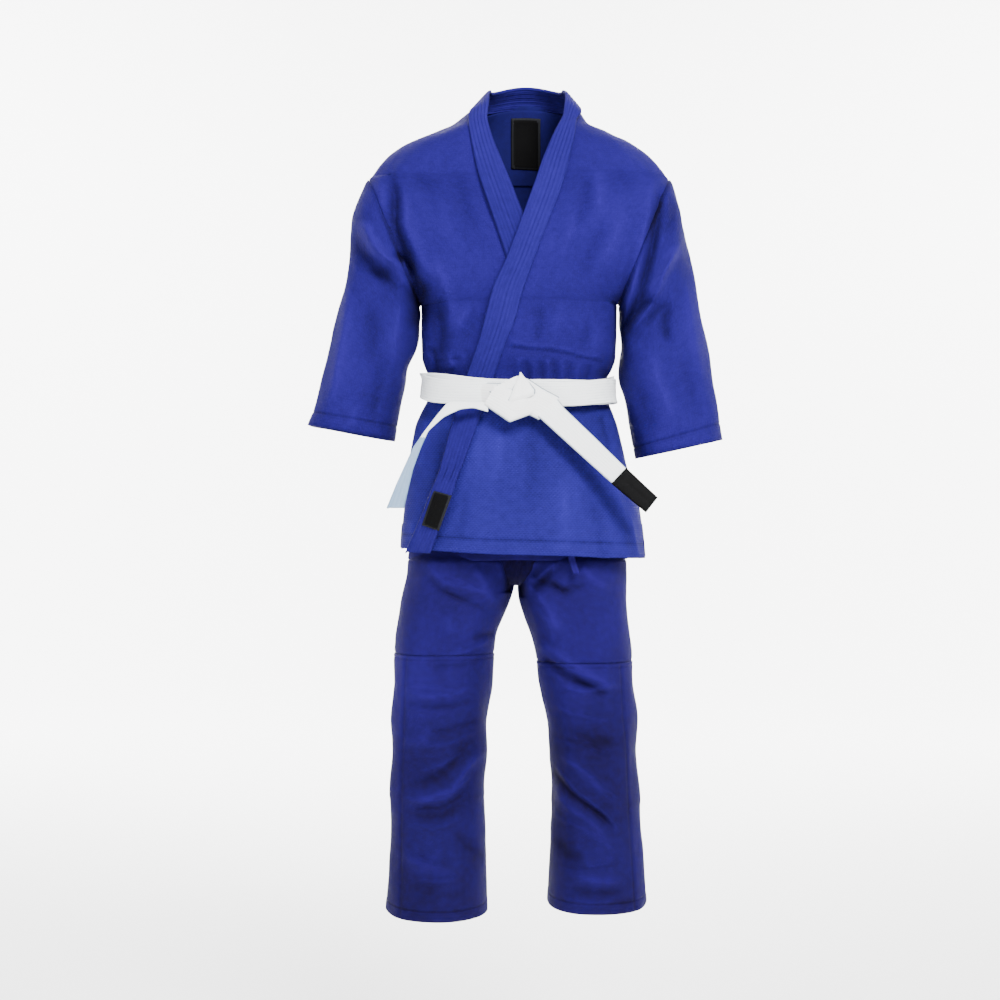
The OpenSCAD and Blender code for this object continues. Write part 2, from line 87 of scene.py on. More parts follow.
def S(a, z, o):
    """a in radians; arrays allowed; mm"""
    a, z, o = np.broadcast_arrays(np.asarray(a, float), np.asarray(z, float), np.asarray(o, float))
    p = soft(z, PW, w=26)
    x = soft(z, CX) + (soft(z, HW, w=5) + o) * spw(np.cos(a), p)
    y = soft(z, CY) + (soft(z, HD) + o) * spw(np.sin(a), p)
    zz = z + o * lk(z, NZ) + lk(z, LIFT) * np.maximum(0, np.sin(a)) ** 2
    return np.stack([x, y, zz], -1)


def front_angle(x, z, o):
    c = (x - soft(z, CX)) / (soft(z, HW, w=5) + o)
    return -np.arccos(spw(np.clip(c, -0.999, 0.999), 1 / soft(z, PW, w=26)))


def arm_u(z):
    return (z + 198) / 100.5


def arm_y(z):
    u = np.abs(arm_u(z))
    return np.where(u < 1, 99.5 * np.maximum(0, 1 - u ** 2.3) ** 0.43, 0)


def arm_x(z):
    return 197 + (z + 198) * 0.41


def edge_angle(z):
    return np.maximum(math.radians(0.005), np.arcsin(np.clip((arm_y(z) / soft(z, HD)) ** (1 / soft(z, PW, w=26)), 0, 1)))


# ------------------------------------------------------------------ noise and folds
def vnoise(P, seed):
    i = np.floor(P).astype(np.int64)
    f = P - i
    f = f * f * f * (f * (f * 6 - 15) + 10)

    def h(a, b, c):
        n = (a * 374761393 + b * 668265263 + c * 2147483647 + seed * 974634777) & 0xFFFFFFFF
        n = ((n ^ (n >> 13)) * 1274126177) & 0xFFFFFFFF
        return ((n ^ (n >> 16)) & 0xFFFF) / 32767.5 - 1
    r = 0
    for dx in (0, 1):
        for dy in (0, 1):
            for dz in (0, 1):
                w = (f[..., 0] if dx else 1 - f[..., 0]) * (f[..., 1] if dy else 1 - f[..., 1]) * (f[..., 2] if dz else 1 - f[..., 2])
                r = r + w * h(i[..., 0] + dx, i[..., 1] + dy, i[..., 2] + dz)
    return r


def px(pts, f):
    """points read off the front view, 1.6 mm apart, brought to their true place at depth factor f"""
    P = np.array(pts, float)
    X = (P[:, 0] - 519) * 1.6
    Z = (120 - P[:, 1]) * 1.6
    return np.stack([-30 + (X + 30) * f, -608 + (Z + 608) * f], -1)


def stroke(XZ, pts, width):
    """distance from each point to a line, how far along the line its nearest point lies (0..1), and its signed
    distance to one side
    """
    best = np.full(XZ.shape[:-1], 1e9)
    tt = np.zeros(XZ.shape[:-1])
    side = np.zeros(XZ.shape[:-1])
    seg = np.linalg.norm(np.diff(pts, axis=0), axis=1)
    L = seg.sum()
    s0 = 0
    for k in range(len(pts) - 1):
        a, b = pts[k], pts[k + 1]
        d = b - a
        t = np.clip(((XZ - a) @ d) / (d @ d), 0, 1)
        q = XZ - (a + t[..., None] * d)
        dist = np.hypot(q[..., 0], q[..., 1])
        m = dist < best
        best = np.where(m, dist, best)
        tt = np.where(m, (s0 + t * seg[k]) / L, tt)
        side = np.where(m, (d[0] * q[..., 1] - d[1] * q[..., 0]) / np.linalg.norm(d), side)
        s0 += seg[k]
    return best, tt, side


# front folds, upper part: line, height mm (outwards +), half width mm, end taper (start, end)
UP = [
    # right armhole (image left): deep fold with its lit inner edge
    ([(386, 158), (391, 172), (395, 190), (396, 223), (402, 253), (410, 276), (424, 298)], -13, 11, .3, .1),
    ([(398, 170), (406, 200), (407, 228), (414, 254), (424, 276), (436, 296)], 5, 15, .3, .3),
    ([(376, 170), (380, 195), (384, 220)], 4, 14, .4, .4),
    ([(384, 256), (396, 257), (409, 267), (419, 286)], -8, 5.5, .35, .2),
    ([(358, 232), (376, 250), (392, 266), (406, 284), (415, 300)], 7, 7, .3, .3),
    ([(366, 262), (384, 276), (402, 294)], -4, 8, .4, .3),
    ([(410, 282), (415, 305), (412, 332)], -7, 7, .3, .4),
    ([(404, 176), (412, 200), (424, 232)], -2.5, 7, .4, .4),
    ([(664, 296), (649, 300), (635, 311), (624, 331)], -8, 6, .35, .2),
    ([(685, 244), (668, 267), (652, 284), (636, 299)], 7, 7, .3, .3),
    ([(634, 312), (629, 330), (624, 348)], -6, 8, .3, .3),
    ([(672, 300), (656, 312), (642, 330)], -4, 7, .4, .4),
    ([(655, 190), (644, 214), (634, 240)], -2.5, 7, .4, .4),
    ([(358, 216), (370, 238), (388, 260), (406, 272), (416, 286)], 13, 9, .2, .15),
    ([(353, 222), (360, 245), (376, 266), (396, 280)], -9, 14, .35, .3),
    ([(391, 262), (404, 258), (413, 280)], -6, 9, .4, .3),
    ([(421, 270), (417, 300), (413, 335)], -9, 15, .4, .4),
    ([(402, 290), (398, 330), (390, 380)], 6, 12, .3, .5),
    ([(366, 290), (372, 330), (366, 380)], -5, 14, .4, .5),
    ([(350, 268), (343, 330), (333, 380), (322, 420)], 6, 12, .3, .3),
    ([(384, 340), (378, 385), (372, 430)], -4, 11, .4, .3),
    ([(358, 400), (352, 430)], 4, 10, .4, .3),
    # body, image left
    ([(470, 300), (462, 318), (452, 338)], 5, 13, .4, .4),
    ([(478, 306), (470, 330), (460, 352)], -3.5, 13, .4, .4),
    ([(436, 290), (440, 325), (438, 360)], -6, 11, .3, .2),
    ([(428, 250), (444, 290), (452, 340)], 5, 13, .3, .3),
    ([(420, 175), (440, 215), (462, 262)], 3.5, 16, .4, .4),
    ([(452, 158), (462, 200), (478, 240)], -3, 12, .4, .4),
    ([(405, 158), (428, 190), (440, 230)], -3.5, 13, .4, .4),
    ([(466, 345), (472, 362), (476, 372)], -3, 6, .3, .2),
    ([(445, 348), (450, 368)], 4, 8, .3, .2),
    ([(430, 340), (434, 372)], -5, 6, .3, .1),
    # left armhole (image right)
    ([(654, 172), (648, 205), (642, 241), (632, 282), (621, 308), (616, 343), (608, 368)], 6, 9, .2, .2),
    ([(664, 178), (658, 215), (652, 250), (640, 292), (628, 322), (622, 350)], -12, 9, .25, .15),
    ([(655, 294), (640, 318), (626, 340)], -9, 13, .2, .2),
    ([(684, 238), (672, 258), (658, 290), (642, 316), (622, 343)], 13, 8, .2, .1),
    ([(686, 262), (692, 300), (698, 343), (706, 390)], 6, 13, .3, .4),
    ([(668, 296), (668, 325), (672, 350)], -8, 9, .4, .4),
    ([(652, 345), (660, 385), (672, 430)], 5, 12, .4, .3),
    ([(636, 370), (644, 405), (656, 440)], -4.5, 11, .4, .3),
    ([(684, 350), (692, 390), (702, 430)], -3.5, 11, .4, .4),
    ([(676, 190), (672, 215), (664, 240)], -5, 10, .3, .4),
    # body, image right: shoulder hollow and soft drags
    ([(608, 163), (620, 180), (634, 196)], -3.5, 17, .4, .4),
    ([(592, 162), (598, 190), (596, 225)], 5, 10, .3, .5),
    ([(584, 170), (583, 205), (572, 240)], -3.5, 9, .3, .5),
    ([(573, 200), (570, 230), (558, 262)], 3.5, 9, .3, .4),
    ([(626, 200), (612, 240), (596, 280)], 4.5, 14, .4, .4),
    ([(606, 210), (592, 250), (574, 290)], -3.5, 12, .4, .4),
    ([(560, 300), (556, 330), (550, 350)], 3, 10, .4, .3),
    ([(590, 318), (585, 335), (580, 352)], -3, 12, .4, .4),
    ([(600, 312), (597, 335), (594, 356)], 3, 12, .4, .4),
    ([(540, 300), (538, 330), (534, 348)], -3, 9, .4, .3),
    ([(508, 346), (551, 353), (607, 361)], -2.6, 3.2, .05, .05),
    ([(508, 342), (551, 349), (607, 357)], 2.2, 4, .05, .05),
    ([(430, 358), (462, 357)], -2.2, 3.2, .1, .1),
    ([(524, 357), (527, 386)], -2.8, 3.6, .2, .1),
    ([(531, 358), (533, 386)], 2.8, 3.6, .2, .1),
    ([(538, 360), (540, 386)], -2.8, 3.4, .2, .1),
    ([(545, 358), (547, 388)], 4, 3.6, .2, .1),
    ([(553, 359), (553, 387)], -2.8, 3.4, .2, .1),
    ([(560, 360), (561, 386)], 4, 3.8, .2, .1),
    ([(569, 361), (568, 387)], -2.6, 3.8, .2, .1),
    ([(580, 362), (578, 384)], 3, 4.5, .2, .1),
    ([(592, 362), (588, 384)], -3, 4.5, .2, .1),
    ([(517, 356), (515, 380)], 3.5, 4, .2, .1),
    ([(606, 345), (604, 378)], -3, 9, .4, .2),
]
SKIRT = [
    ([(424, 412), (420, 440), (414, 480)], 3.5, 9, .2, .4),
    ([(446, 428), (436, 470), (424, 530)], -3.5, 8, .2, .3),
    ([(500, 428), (496, 460), (488, 500)], 3, 12, .2, .5),
    ([(470, 470), (462, 510), (456, 545)], -2.5, 10, .4, .2),
    ([(530, 425), (532, 470), (530, 520)], -2.5, 12, .2, .5),
    ([(560, 470), (566, 510), (566, 550)], 3.2, 13, .4, .1),
    ([(590, 480), (602, 520), (606, 554)], -3.2, 11, .4, .1),
    ([(612, 430), (618, 470), (628, 520)], 3, 8, .3, .3),
    ([(604, 410), (612, 445), (616, 480)], -4, 6, .1, .4),
    ([(632, 505), (638, 530), (642, 552)], 3.5, 6, .3, .1),
    ([(410, 520), (409, 545)], 4, 7, .4, .1),
]
LEGS = [
    ([(428, 560), (445, 582), (474, 592), (492, 590)], 4, 6, .3, .3),
    ([(424, 572), (444, 594), (474, 604)], -3.2, 6, .3, .3),
    ([(469, 640), (494, 636)], -5, 6, .3, .2),
    ([(402, 690), (428, 699), (452, 698), (480, 684)], 3.5, 6, .3, .3),
    ([(404, 702), (430, 711), (456, 709), (482, 697)], -3, 6, .3, .3),
    ([(430, 652), (438, 682)], -2.5, 13, .4, .4),
    ([(400, 800), (414, 802), (452, 789), (484, 754)], 6, 7, .25, .2),
    ([(408, 788), (440, 778), (474, 744)], -4.5, 9, .3, .2),
    ([(402, 818), (440, 816), (470, 800)], -3.5, 8, .3, .3),
    ([(400, 750), (420, 744), (436, 730)], 4, 9, .3, .4),
    ([(394, 856), (420, 866), (450, 862)], 4, 10, .3, .4),
    ([(452, 830), (470, 850), (482, 872)], -4, 10, .4, .3),
    ([(410, 880), (446, 892)], -2.5, 14, .4, .4),
    ([(474, 560), (486, 590), (498, 612)], 4, 9, .3, .3),
    ([(450, 612), (448, 640)], 4, 12, .4, .4),
    # right side of the picture
    ([(534, 592), (548, 610), (560, 640)], 5, 9, .2, .3),
    ([(526, 560), (540, 580), (566, 592), (590, 584)], -6, 8, .2, .3),
    ([(580, 560), (592, 580), (612, 590)], 5, 9, .3, .3),
    ([(539, 647), (569, 664), (616, 689)], 5, 8, .1, .2),
    ([(542, 660), (570, 677), (612, 700)], -6, 7, .1, .2),
    ([(568, 694), (596, 690), (626, 684)], 3.5, 6, .3, .3),
    ([(552, 768), (574, 796), (594, 812), (618, 834)], -5.5, 6, .2, .3),
    ([(550, 786), (572, 812), (594, 828), (612, 850)], 4.5, 8, .3, .3),
    ([(562, 752), (584, 776), (612, 800)], 4.5, 7, .3, .3),
    ([(566, 730), (590, 742), (620, 744)], -4, 9, .3, .3),
    ([(570, 874), (596, 878), (622, 880)], 3, 7, .3, .3),
    ([(566, 886), (596, 891), (626, 890)], -4, 8, .3, .3),
    ([(556, 840), (572, 856), (590, 862)], -5, 9, .3, .4),
    # small creases
    ([(440, 570), (462, 580), (486, 596)], 2.6, 3.5, .3, .2),
    ([(436, 586), (460, 600), (490, 612)], -2.4, 3.5, .3, .2),
    ([(438, 657), (462, 654), (488, 643)], 2.6, 4, .3, .1),
    ([(430, 668), (458, 668), (486, 660)], -2.4, 4, .3, .2),
    ([(404, 684), (430, 690), (461, 692)], 2.2, 3.5, .3, .3),
    ([(409, 708), (434, 714), (456, 712)], 2.2, 4, .3, .3),
    ([(424, 736), (452, 732), (480, 720)], -2.6, 4, .3, .2),
    ([(420, 748), (448, 746), (478, 734)], 2.4, 4, .3, .2),
    ([(414, 776), (446, 764), (476, 748)], 2.4, 4, .3, .2),
    ([(414, 803), (443, 799), (476, 776)], 3.2, 4, .2, .2),
    ([(411, 810), (443, 807), (474, 788)], -3.2, 4, .2, .3),
    ([(410, 826), (440, 826), (462, 816)], 2.2, 4, .3, .3),
    ([(406, 854), (436, 862), (458, 860)], -2.2, 4, .3, .3),
    ([(408, 880), (438, 878), (464, 876)], 2.2, 4, .3, .3),
    ([(530, 600), (548, 622), (556, 650)], 2.6, 4, .3, .3),
    ([(548, 574), (566, 586), (584, 596)], 2.4, 3.5, .3, .3),
    ([(541, 566), (553, 580), (572, 604)], -2.6, 3.5, .3, .3),
    ([(540, 652), (566, 670), (600, 682), (624, 690)], 3.0, 3.6, .2, .2),
    ([(546, 668), (570, 682), (600, 690)], -2.6, 4, .3, .3),
    ([(552, 685), (584, 694), (616, 689)], 2.6, 4, .3, .3),
    ([(548, 704), (575, 717), (614, 726)], 2.2, 4, .3, .3),
    ([(552, 736), (580, 744), (612, 758)], -2.2, 4, .3, .3),
    ([(554, 762), (575, 790), (597, 808), (625, 836)], 3.4, 3.6, .2, .2),
    ([(556, 752), (596, 780), (628, 808)], 2.4, 4, .3, .2),
    ([(552, 816), (584, 832), (622, 854)], 2.4, 4, .3, .3),
    ([(552, 862), (588, 868), (626, 862)], -2.2, 4, .3, .3),
    ([(556, 896), (590, 900), (624, 896)], 2.0, 4, .3, .3),
    # crotch
    ([(512, 552), (511, 572), (509, 596)], -16, 10, .05, .05),
    ([(524, 552), (520, 575), (522, 602)], -12, 7, .1, .05),
    ([(518, 556), (516, 585)], 5, 4, .2, .3),
    ([(498, 556), (503, 580), (502, 606)], 5, 6, .2, .3),
    ([(536, 556), (530, 580), (530, 604)], 6, 6, .2, .3),
    ([(560, 556), (545, 572), (532, 584)], 5, 6, .3, .2),
    ([(556, 566), (544, 580), (534, 592)], -5, 6, .3, .2),
]
BACK = [
    ([(0, -60), (4, -180), (0, -330)], 0, 1, .5, .5),
    ([(-150, -120), (-120, -220), (-90, -330)], 6, 20, .3, .3),
    ([(-170, -170), (-140, -260), (-110, -340)], -6, 16, .3, .3),
    ([(150, -120), (120, -220), (85, -330)], 6, 20, .3, .3),
    ([(172, -170), (140, -260), (112, -345)], -6, 16, .3, .3),
    ([(-40, -300), (-30, -350), (-34, -410)], 5, 10, .4, .2),
    ([(20, -300), (16, -350), (20, -410)], 5, 10, .4, .2),
    ([(-8, -310), (-8, -360), (-6, -410)], -5, 10, .4, .2),
    ([(60, -320), (54, -360), (56, -410)], -5, 9, .4, .2),
    ([(-70, -320), (-64, -360), (-66, -410)], -5, 9, .4, .2),
    ([(-120, -480), (-130, -560), (-135, -670)], 5, 16, .3, .1),
    ([(110, -480), (122, -560), (130, -670)], 5, 16, .3, .1),
    ([(-40, -480), (-44, -580), (-50, -680)], -5, 18, .3, .1),
    ([(50, -480), (56, -580), (60, -680)], -4, 18, .3, .1),
    ([(0, -500), (2, -590), (4, -680)], 4, 18, .3, .1),
    ([(60, -830), (100, -850), (150, -840)], 3, 7, .3, .3),
    ([(60, -930), (110, -956), (170, -948)], 4.5, 8, .3, .3),
    ([(64, -972), (120, -985), (170, -968)], -3.5, 7, .3, .3),
    ([(-60, -850), (-110, -860), (-160, -835)], 3, 7, .3, .3),
    ([(-72, -928), (-118, -944), (-172, -958)], 4.5, 8, .3, .3),
    ([(-70, -962), (-130, -990), (-180, -982)], -3.5, 7, .3, .3),
    ([(70, -1120), (120, -1150), (180, -1130)], 6, 12, .2, .2),
    ([(-70, -1130), (-130, -1150), (-190, -1140)], 6, 12, .2, .2),
]
LINES = [(px(p, .966), h, w, a, b, -1) for p, h, w, a, b in UP] + [(px(p, .958), h, w, a, b, -1) for p, h, w, a, b in SKIRT] + \
        [(px(p, .972), h, w, a, b, -1) for p, h, w, a, b in LEGS] + [(np.array(p, float), h, w, a, b, 1) for p, h, w, a, b in BACK]


def folds(P, gain=1.0, group=None):
    """moves points (mm) by the folds; a function of place only, so that meshes which share an edge stay together.
    Returns the moved points and a shade value: below 0 in the hollows, above 0 on the ridges."""
    XZ = P[..., [0, 2]]
    qw = P / 1000 * [17, 17, 17]
    XZ = XZ + 4.5 * np.stack([vnoise(qw + 31, 21), vnoise(qw + 57, 22)], -1)
    h = {-1: np.zeros(P.shape[:-1]), 1: np.zeros(P.shape[:-1])}
    lo, hi = XZ.reshape(-1, 2).min(0) - 60, XZ.reshape(-1, 2).max(0) + 60
    for pts, amp, w, ta, tb, sgn in LINES:
        if amp == 0 or (pts.max(0) < lo).any() or (pts.min(0) > hi).any():
            continue
        d, t, side = stroke(XZ, pts, w)
        g = (.62 * np.exp(-(d / w) ** 2) + .38 * np.exp(-np.sqrt(d * d + 2.0) / (.75 * w)) * 1.05) * (1 + .3 * np.tanh(side / w) * np.exp(-(d / w) ** 2)) * ease((t + 1e-3) / max(ta, 1e-3)) * ease((1 - t + 1e-3) / max(tb, 1e-3))
        # past the two ends the line fades out
        h[sgn] = h[sgn] + amp * g
    y = P[..., 1]
    wf = ease((-y - 2) / 38.0)
    wb = ease((y - 2) / 38.0)
    sh = 1.25 * gain * (h[-1] * wf + h[1] * wb)
    # broad soft unevenness and fine puckers
    q = P / 1000
    n1 = vnoise(q * [11, 11, 6.5], 3)
    n2 = vnoise(q * [25, 25, 15] + 7, 5)
    n3 = vnoise(q * [60, 60, 45] + 3, 9)
    nn = gain * (3.8 * n1 + 1.9 * n2 + 0.5 * n3)
    r = np.stack([np.clip(P[..., 0] * 0, -1, 1), wb - wf, np.zeros_like(y)], -1)
    Q = P + r * sh[..., None]
    return Q, sh, nn


def normals(P, closed):
    """unit normals of a grid (rows, cols, 3)"""
    du = np.empty_like(P)
    if closed:
        du = np.roll(P, -1, 1) - np.roll(P, 1, 1)
    else:
        du = np.gradient(P, axis=1)
    dv = np.gradient(P, axis=0)
    n = np.cross(du, dv)
    return n / np.maximum(1e-9, np.linalg.norm(n, axis=-1, keepdims=True))


def arc(P):
    """length along each row and down each column (m)"""
    u = np.concatenate([np.zeros_like(P[:, :1, 0]), np.cumsum(np.linalg.norm(np.diff(P, axis=1), axis=-1), 1)], 1)
    v = np.concatenate([np.zeros_like(P[:1, :, 0]), np.cumsum(np.linalg.norm(np.diff(P, axis=0), axis=-1), 0)], 0)
    return u / 1000, v / 1000


MESHES = {}


def cloth(name, P, t, mat, closed=False, flip=False, shade=None, uv=None, inner_mat=None, base=None):
    """P: (n, m, 3) grid in mm, the outer face. t: thickness mm. Makes outer face, inner face and rims."""
    n, m = P.shape[:2]
    N = normals(P, closed) * (-1 if flip else 1)
    I = P - N * t
    V = np.concatenate([P.reshape(-1, 3), I.reshape(-1, 3)]) / 1000
    k = n * m
    mm = m if closed else m - 1
    F, UV = [], []
    if uv is None:
        if closed:
            Pc = np.concatenate([P, P[:, :1]], 1)
            u, v = arc(Pc)
            mid = u[n // 2]
            u = np.repeat(mid[None], n, 0)
            v = np.repeat(v.mean(1)[:, None], m + 1, 1)
        else:
            u, v = arc(P)
            u = u - u[:, m // 2:m // 2 + 1]
            v = np.repeat(v[:, m // 2:m // 2 + 1], m, 1)
        uv = np.stack([u, v], -1)
    jj, ii = np.meshgrid(np.arange(mm), np.arange(n - 1))
    ii, jj = ii.ravel(), jj.ravel()
    j2 = (jj + 1) % m
    a, b, c, d = ii * m + jj, ii * m + j2, (ii + 1) * m + j2, (ii + 1) * m + jj
    q = np.stack([a, b, c, d], 1)
    uq = np.stack([uv[ii, jj], uv[ii, jj + 1], uv[ii + 1, jj + 1], uv[ii + 1, jj]], 1)
    if flip:
        q, uq = q[:, ::-1], uq[:, ::-1]
    F.append(q)
    UV.append(uq)
    F.append(q[:, ::-1] + k)
    UV.append(uq[:, ::-1])
    # rims
    for row, rev in ((0, True), (n - 1, False)):
        j = np.arange(mm)
        j1 = (j + 1) % m
        r = np.stack([row * m + j, row * m + j1, row * m + j1 + k, row * m + j + k], 1)
        ur = np.stack([uv[row, j], uv[row, j + 1], uv[row, j + 1] + [0, .002], uv[row, j] + [0, .002]], 1)
        if rev == flip:
            r, ur = r, ur
        else:
            r, ur = r[:, ::-1], ur[:, ::-1]
        F.append(r)
        UV.append(ur)
    if not closed:
        for col, rev in ((0, False), (m - 1, True)):
            i = np.arange(n - 1)
            r = np.stack([i * m + col, (i + 1) * m + col, (i + 1) * m + col + k, i * m + col + k], 1)
            ur = np.stack([uv[i, col], uv[i + 1, col], uv[i + 1, col] + [.002, 0], uv[i, col] + [.002, 0]], 1)
            if rev == flip:
                r, ur = r, ur
            else:
                r, ur = r[:, ::-1], ur[:, ::-1]
            F.append(r)
            UV.append(ur)
    nf = [len(f) for f in F]
    F = np.concatenate(F)
    UV = np.concatenate(UV).reshape(-1, 2)
    me = bpy.data.meshes.new(name)
    me.vertices.add(len(V))
    me.vertices.foreach_set("co", V.astype(np.float32).ravel())
    me.loops.add(F.size)
    me.loops.foreach_set("vertex_index", F.astype(np.int32).ravel())
    me.polygons.add(len(F))
    me.polygons.foreach_set("loop_start", np.arange(0, F.size, 4, dtype=np.int32))
    me.polygons.foreach_set("loop_total", np.full(len(F), 4, dtype=np.int32))
    me.polygons.foreach_set("use_smooth", np.ones(len(F), bool))
    l = me.uv_layers.new(name="weave")
    me.update(calc_edges=True)
    l.data.foreach_set("uv", UV.astype(np.float32).ravel())
    at = me.attributes.new("shade", "FLOAT", "POINT")
    s = np.zeros((n, m)) if shade is None else np.asarray(shade, float)
    at.data.foreach_set("value", np.concatenate([s.ravel(), s.ravel() * 0.3]).astype(np.float32))
    me.materials.append(mat)
    if inner_mat is not None:
        me.materials.append(inner_mat)
        idx = np.zeros(len(F), np.int32)
        idx[nf[0]:nf[0] + nf[1]] = 1
        me.polygons.foreach_set("material_index", idx)
    me.validate()
    ob = bpy.data.objects.new(name, me)
    bpy.context.collection.objects.link(ob)
    Bp = P if base is None else base
    if closed:
        Bp = np.concatenate([Bp, Bp[:, :1]], 1)
    u, v = arc(Bp)
    W, L = float(u[:, -1].max()), float(v[-1].max())
    e1 = np.diff(Bp[:-1], axis=1)
    e2 = np.diff(Bp[:, :-1], axis=0)
    A = float(np.linalg.norm(np.cross(e1, e2), axis=-1).sum()) / 1e6
    MESHES[name] = (W, L, min(W * L, max(A, 0.3 * W * L)))
    return ob


# ------------------------------------------------------------------ materials
def lin(c):
    return tuple(((v / 255 + 0.055) / 1.055) ** 2.4 if v > 10 else v / 255 / 12.92 for v in c) + (1,)


def fabric(name, col, dark, kind, rough=.86, sheen=.05, bump=.0006, light=None):
    m = bpy.data.materials.new(name)
    m.use_nodes = True
    nt = m.node_tree
    nt.nodes.clear()

    def N(t, **kw):
        x = nt.nodes.new(t)
        for k, v in kw.items():
            setattr(x, k, v)
        return x

    def link(a, b):
        nt.links.new(a, b)

    def math_(op, a, b=None, clamp=False):
        x = N("ShaderNodeMath", operation=op, use_clamp=clamp)
        for i, v in enumerate((a, b)):
            if v is None:
                continue
            if isinstance(v, (int, float)):
                x.inputs[i].default_value = v
            else:
                link(v, x.inputs[i])
        return x.outputs[0]
    out = N("ShaderNodeOutputMaterial")
    bs = N("ShaderNodeBsdfPrincipled")
    link(bs.outputs[0], out.inputs[0])
    uv = N("ShaderNodeUVMap", uv_map="weave")
    sep = N("ShaderNodeSeparateXYZ")
    link(uv.outputs[0], sep.inputs[0])
    u, v = sep.outputs[0], sep.outputs[1]

    def wave(x, period, ph=0.0):
        return math_("SINE", math_("MULTIPLY_ADD", x, 2 * math.pi / period) if ph == 0 else math_("ADD", math_("MULTIPLY", x, 2 * math.pi / period), ph))
    warp = N("ShaderNodeTexNoise")
    warp.inputs["Scale"].default_value = 60
    link(uv.outputs[0], warp.inputs["Vector"])
    if kind == "rice":
        # grains from a stretched Voronoi pattern, with a fine crossing wave over them
        mp = N("ShaderNodeMapping")
        mp.inputs["Scale"].default_value = (300, 240, 1)
        link(uv.outputs[0], mp.inputs[0])
        vo = N("ShaderNodeTexVoronoi", feature="F1")
        vo.inputs["Scale"].default_value = 1.0
        vo.inputs["Randomness"].default_value = .45
        link(mp.outputs[0], vo.inputs["Vector"])
        grain = math_("SUBTRACT", 1.0, vo.outputs["Distance"])
        fine = math_("MULTIPLY", wave(u, .0011), wave(v, .0011))
        height = math_("ADD", grain, math_("MULTIPLY", fine, .12))
    elif kind == "diamond":
        d1 = wave(math_("ADD", u, v), .0062)
        d2 = wave(math_("SUBTRACT", u, v), .0062)
        hz = wave(v, .0034)
        height = math_("ADD", math_("MULTIPLY", math_("ADD", d1, d2), .25), math_("MULTIPLY", hz, .4))
    elif kind == "twill":
        tw = wave(math_("ADD", u, math_("MULTIPLY", v, .8)), .0023)
        height = math_("ADD", math_("MULTIPLY", tw, .5), math_("MULTIPLY", wave(v, .0013), .15))
    elif kind == "stitched":
        rows = math_("POWER", math_("ABSOLUTE", math_("SINE", math_("MULTIPLY", u, math.pi / .0062))), .35)
        dash = math_("GREATER_THAN", wave(v, .0036), -.35)
        height = math_("ADD", math_("MULTIPLY", rows, 1.1), math_("MULTIPLY", math_("MULTIPLY", math_("SUBTRACT", 1.0, rows), dash), .35))
        height = math_("ADD", height, math_("MULTIPLY", math_("MULTIPLY", wave(u, .0012), wave(v, .0012)), .10))
    elif kind == "belt":
        rows = math_("POWER", math_("ABSOLUTE", math_("SINE", math_("MULTIPLY", u, math.pi / .0043))), .4)
        rib = wave(v, .0011)
        height = math_("ADD", rows, math_("MULTIPLY", rib, .18))
    else:
        height = math_("MULTIPLY", wave(math_("ADD", u, v), .0016), .4)
    big = N("ShaderNodeTexNoise")
    big.inputs["Scale"].default_value = 5
    big.inputs["Detail"].default_value = 4
    link(uv.outputs[0], big.inputs["Vector"])
    mid = N("ShaderNodeTexNoise")
    mid.inputs["Scale"].default_value = 90
    mid.inputs["Detail"].default_value = 3
    link(uv.outputs[0], mid.inputs["Vector"])
    spk = N("ShaderNodeTexNoise")
    spk.inputs["Scale"].default_value = 700
    link(uv.outputs[0], spk.inputs["Vector"])
    at = N("ShaderNodeAttribute", attribute_name="shade")
    # colour: dark between the threads, painted shade in the fold hollows and a painted highlight on the fold ridges
    f = math_("ADD", math_("MULTIPLY", height, .12 if kind == "diamond" else .22), math_("MULTIPLY", math_("SUBTRACT", big.outputs["Fac"], .5), .55))
    f = math_("ADD", f, math_("MULTIPLY", math_("SUBTRACT", mid.outputs["Fac"], .5), .3))
    f = math_("ADD", f, math_("MULTIPLY", math_("SUBTRACT", spk.outputs["Fac"], .5), .3))
    f = math_("ADD", f, math_("MULTIPLY", at.outputs["Fac"], 1.0))
    f = math_("ADD", f, .42, clamp=True)
    ramp = N("ShaderNodeValToRGB")
    e = ramp.color_ramp.elements
    e[0].position, e[0].color = 0.0, lin(dark)
    e[1].position, e[1].color = 0.55, lin(col)
    e3 = ramp.color_ramp.elements.new(1.0)
    e3.color = lin(light or tuple(min(255, c * 1.18 + 8) for c in col))
    link(f, ramp.inputs[0])
    link(ramp.outputs[0], bs.inputs["Base Color"])
    rr = math_("ADD", rough, math_("MULTIPLY", math_("SUBTRACT", mid.outputs["Fac"], .5), .16))
    link(rr, bs.inputs["Roughness"])
    bs.inputs["Specular IOR Level"].default_value = .07
    bs.inputs["Sheen Weight"].default_value = sheen
    bs.inputs["Sheen Roughness"].default_value = .45
    bs.inputs["Sheen Tint"].default_value = lin(tuple(min(255, c * .9 + 50) for c in col))
    bp = N("ShaderNodeBump")
    bp.inputs["Strength"].default_value = .8
    bp.inputs["Distance"].default_value = bump
    h2 = math_("ADD", height, math_("MULTIPLY", mid.outputs["Fac"], 1.2))
    link(h2, bp.inputs["Height"])
    link(bp.outputs[0], bs.inputs["Normal"])
    m.diffuse_color = lin(col)
    return m


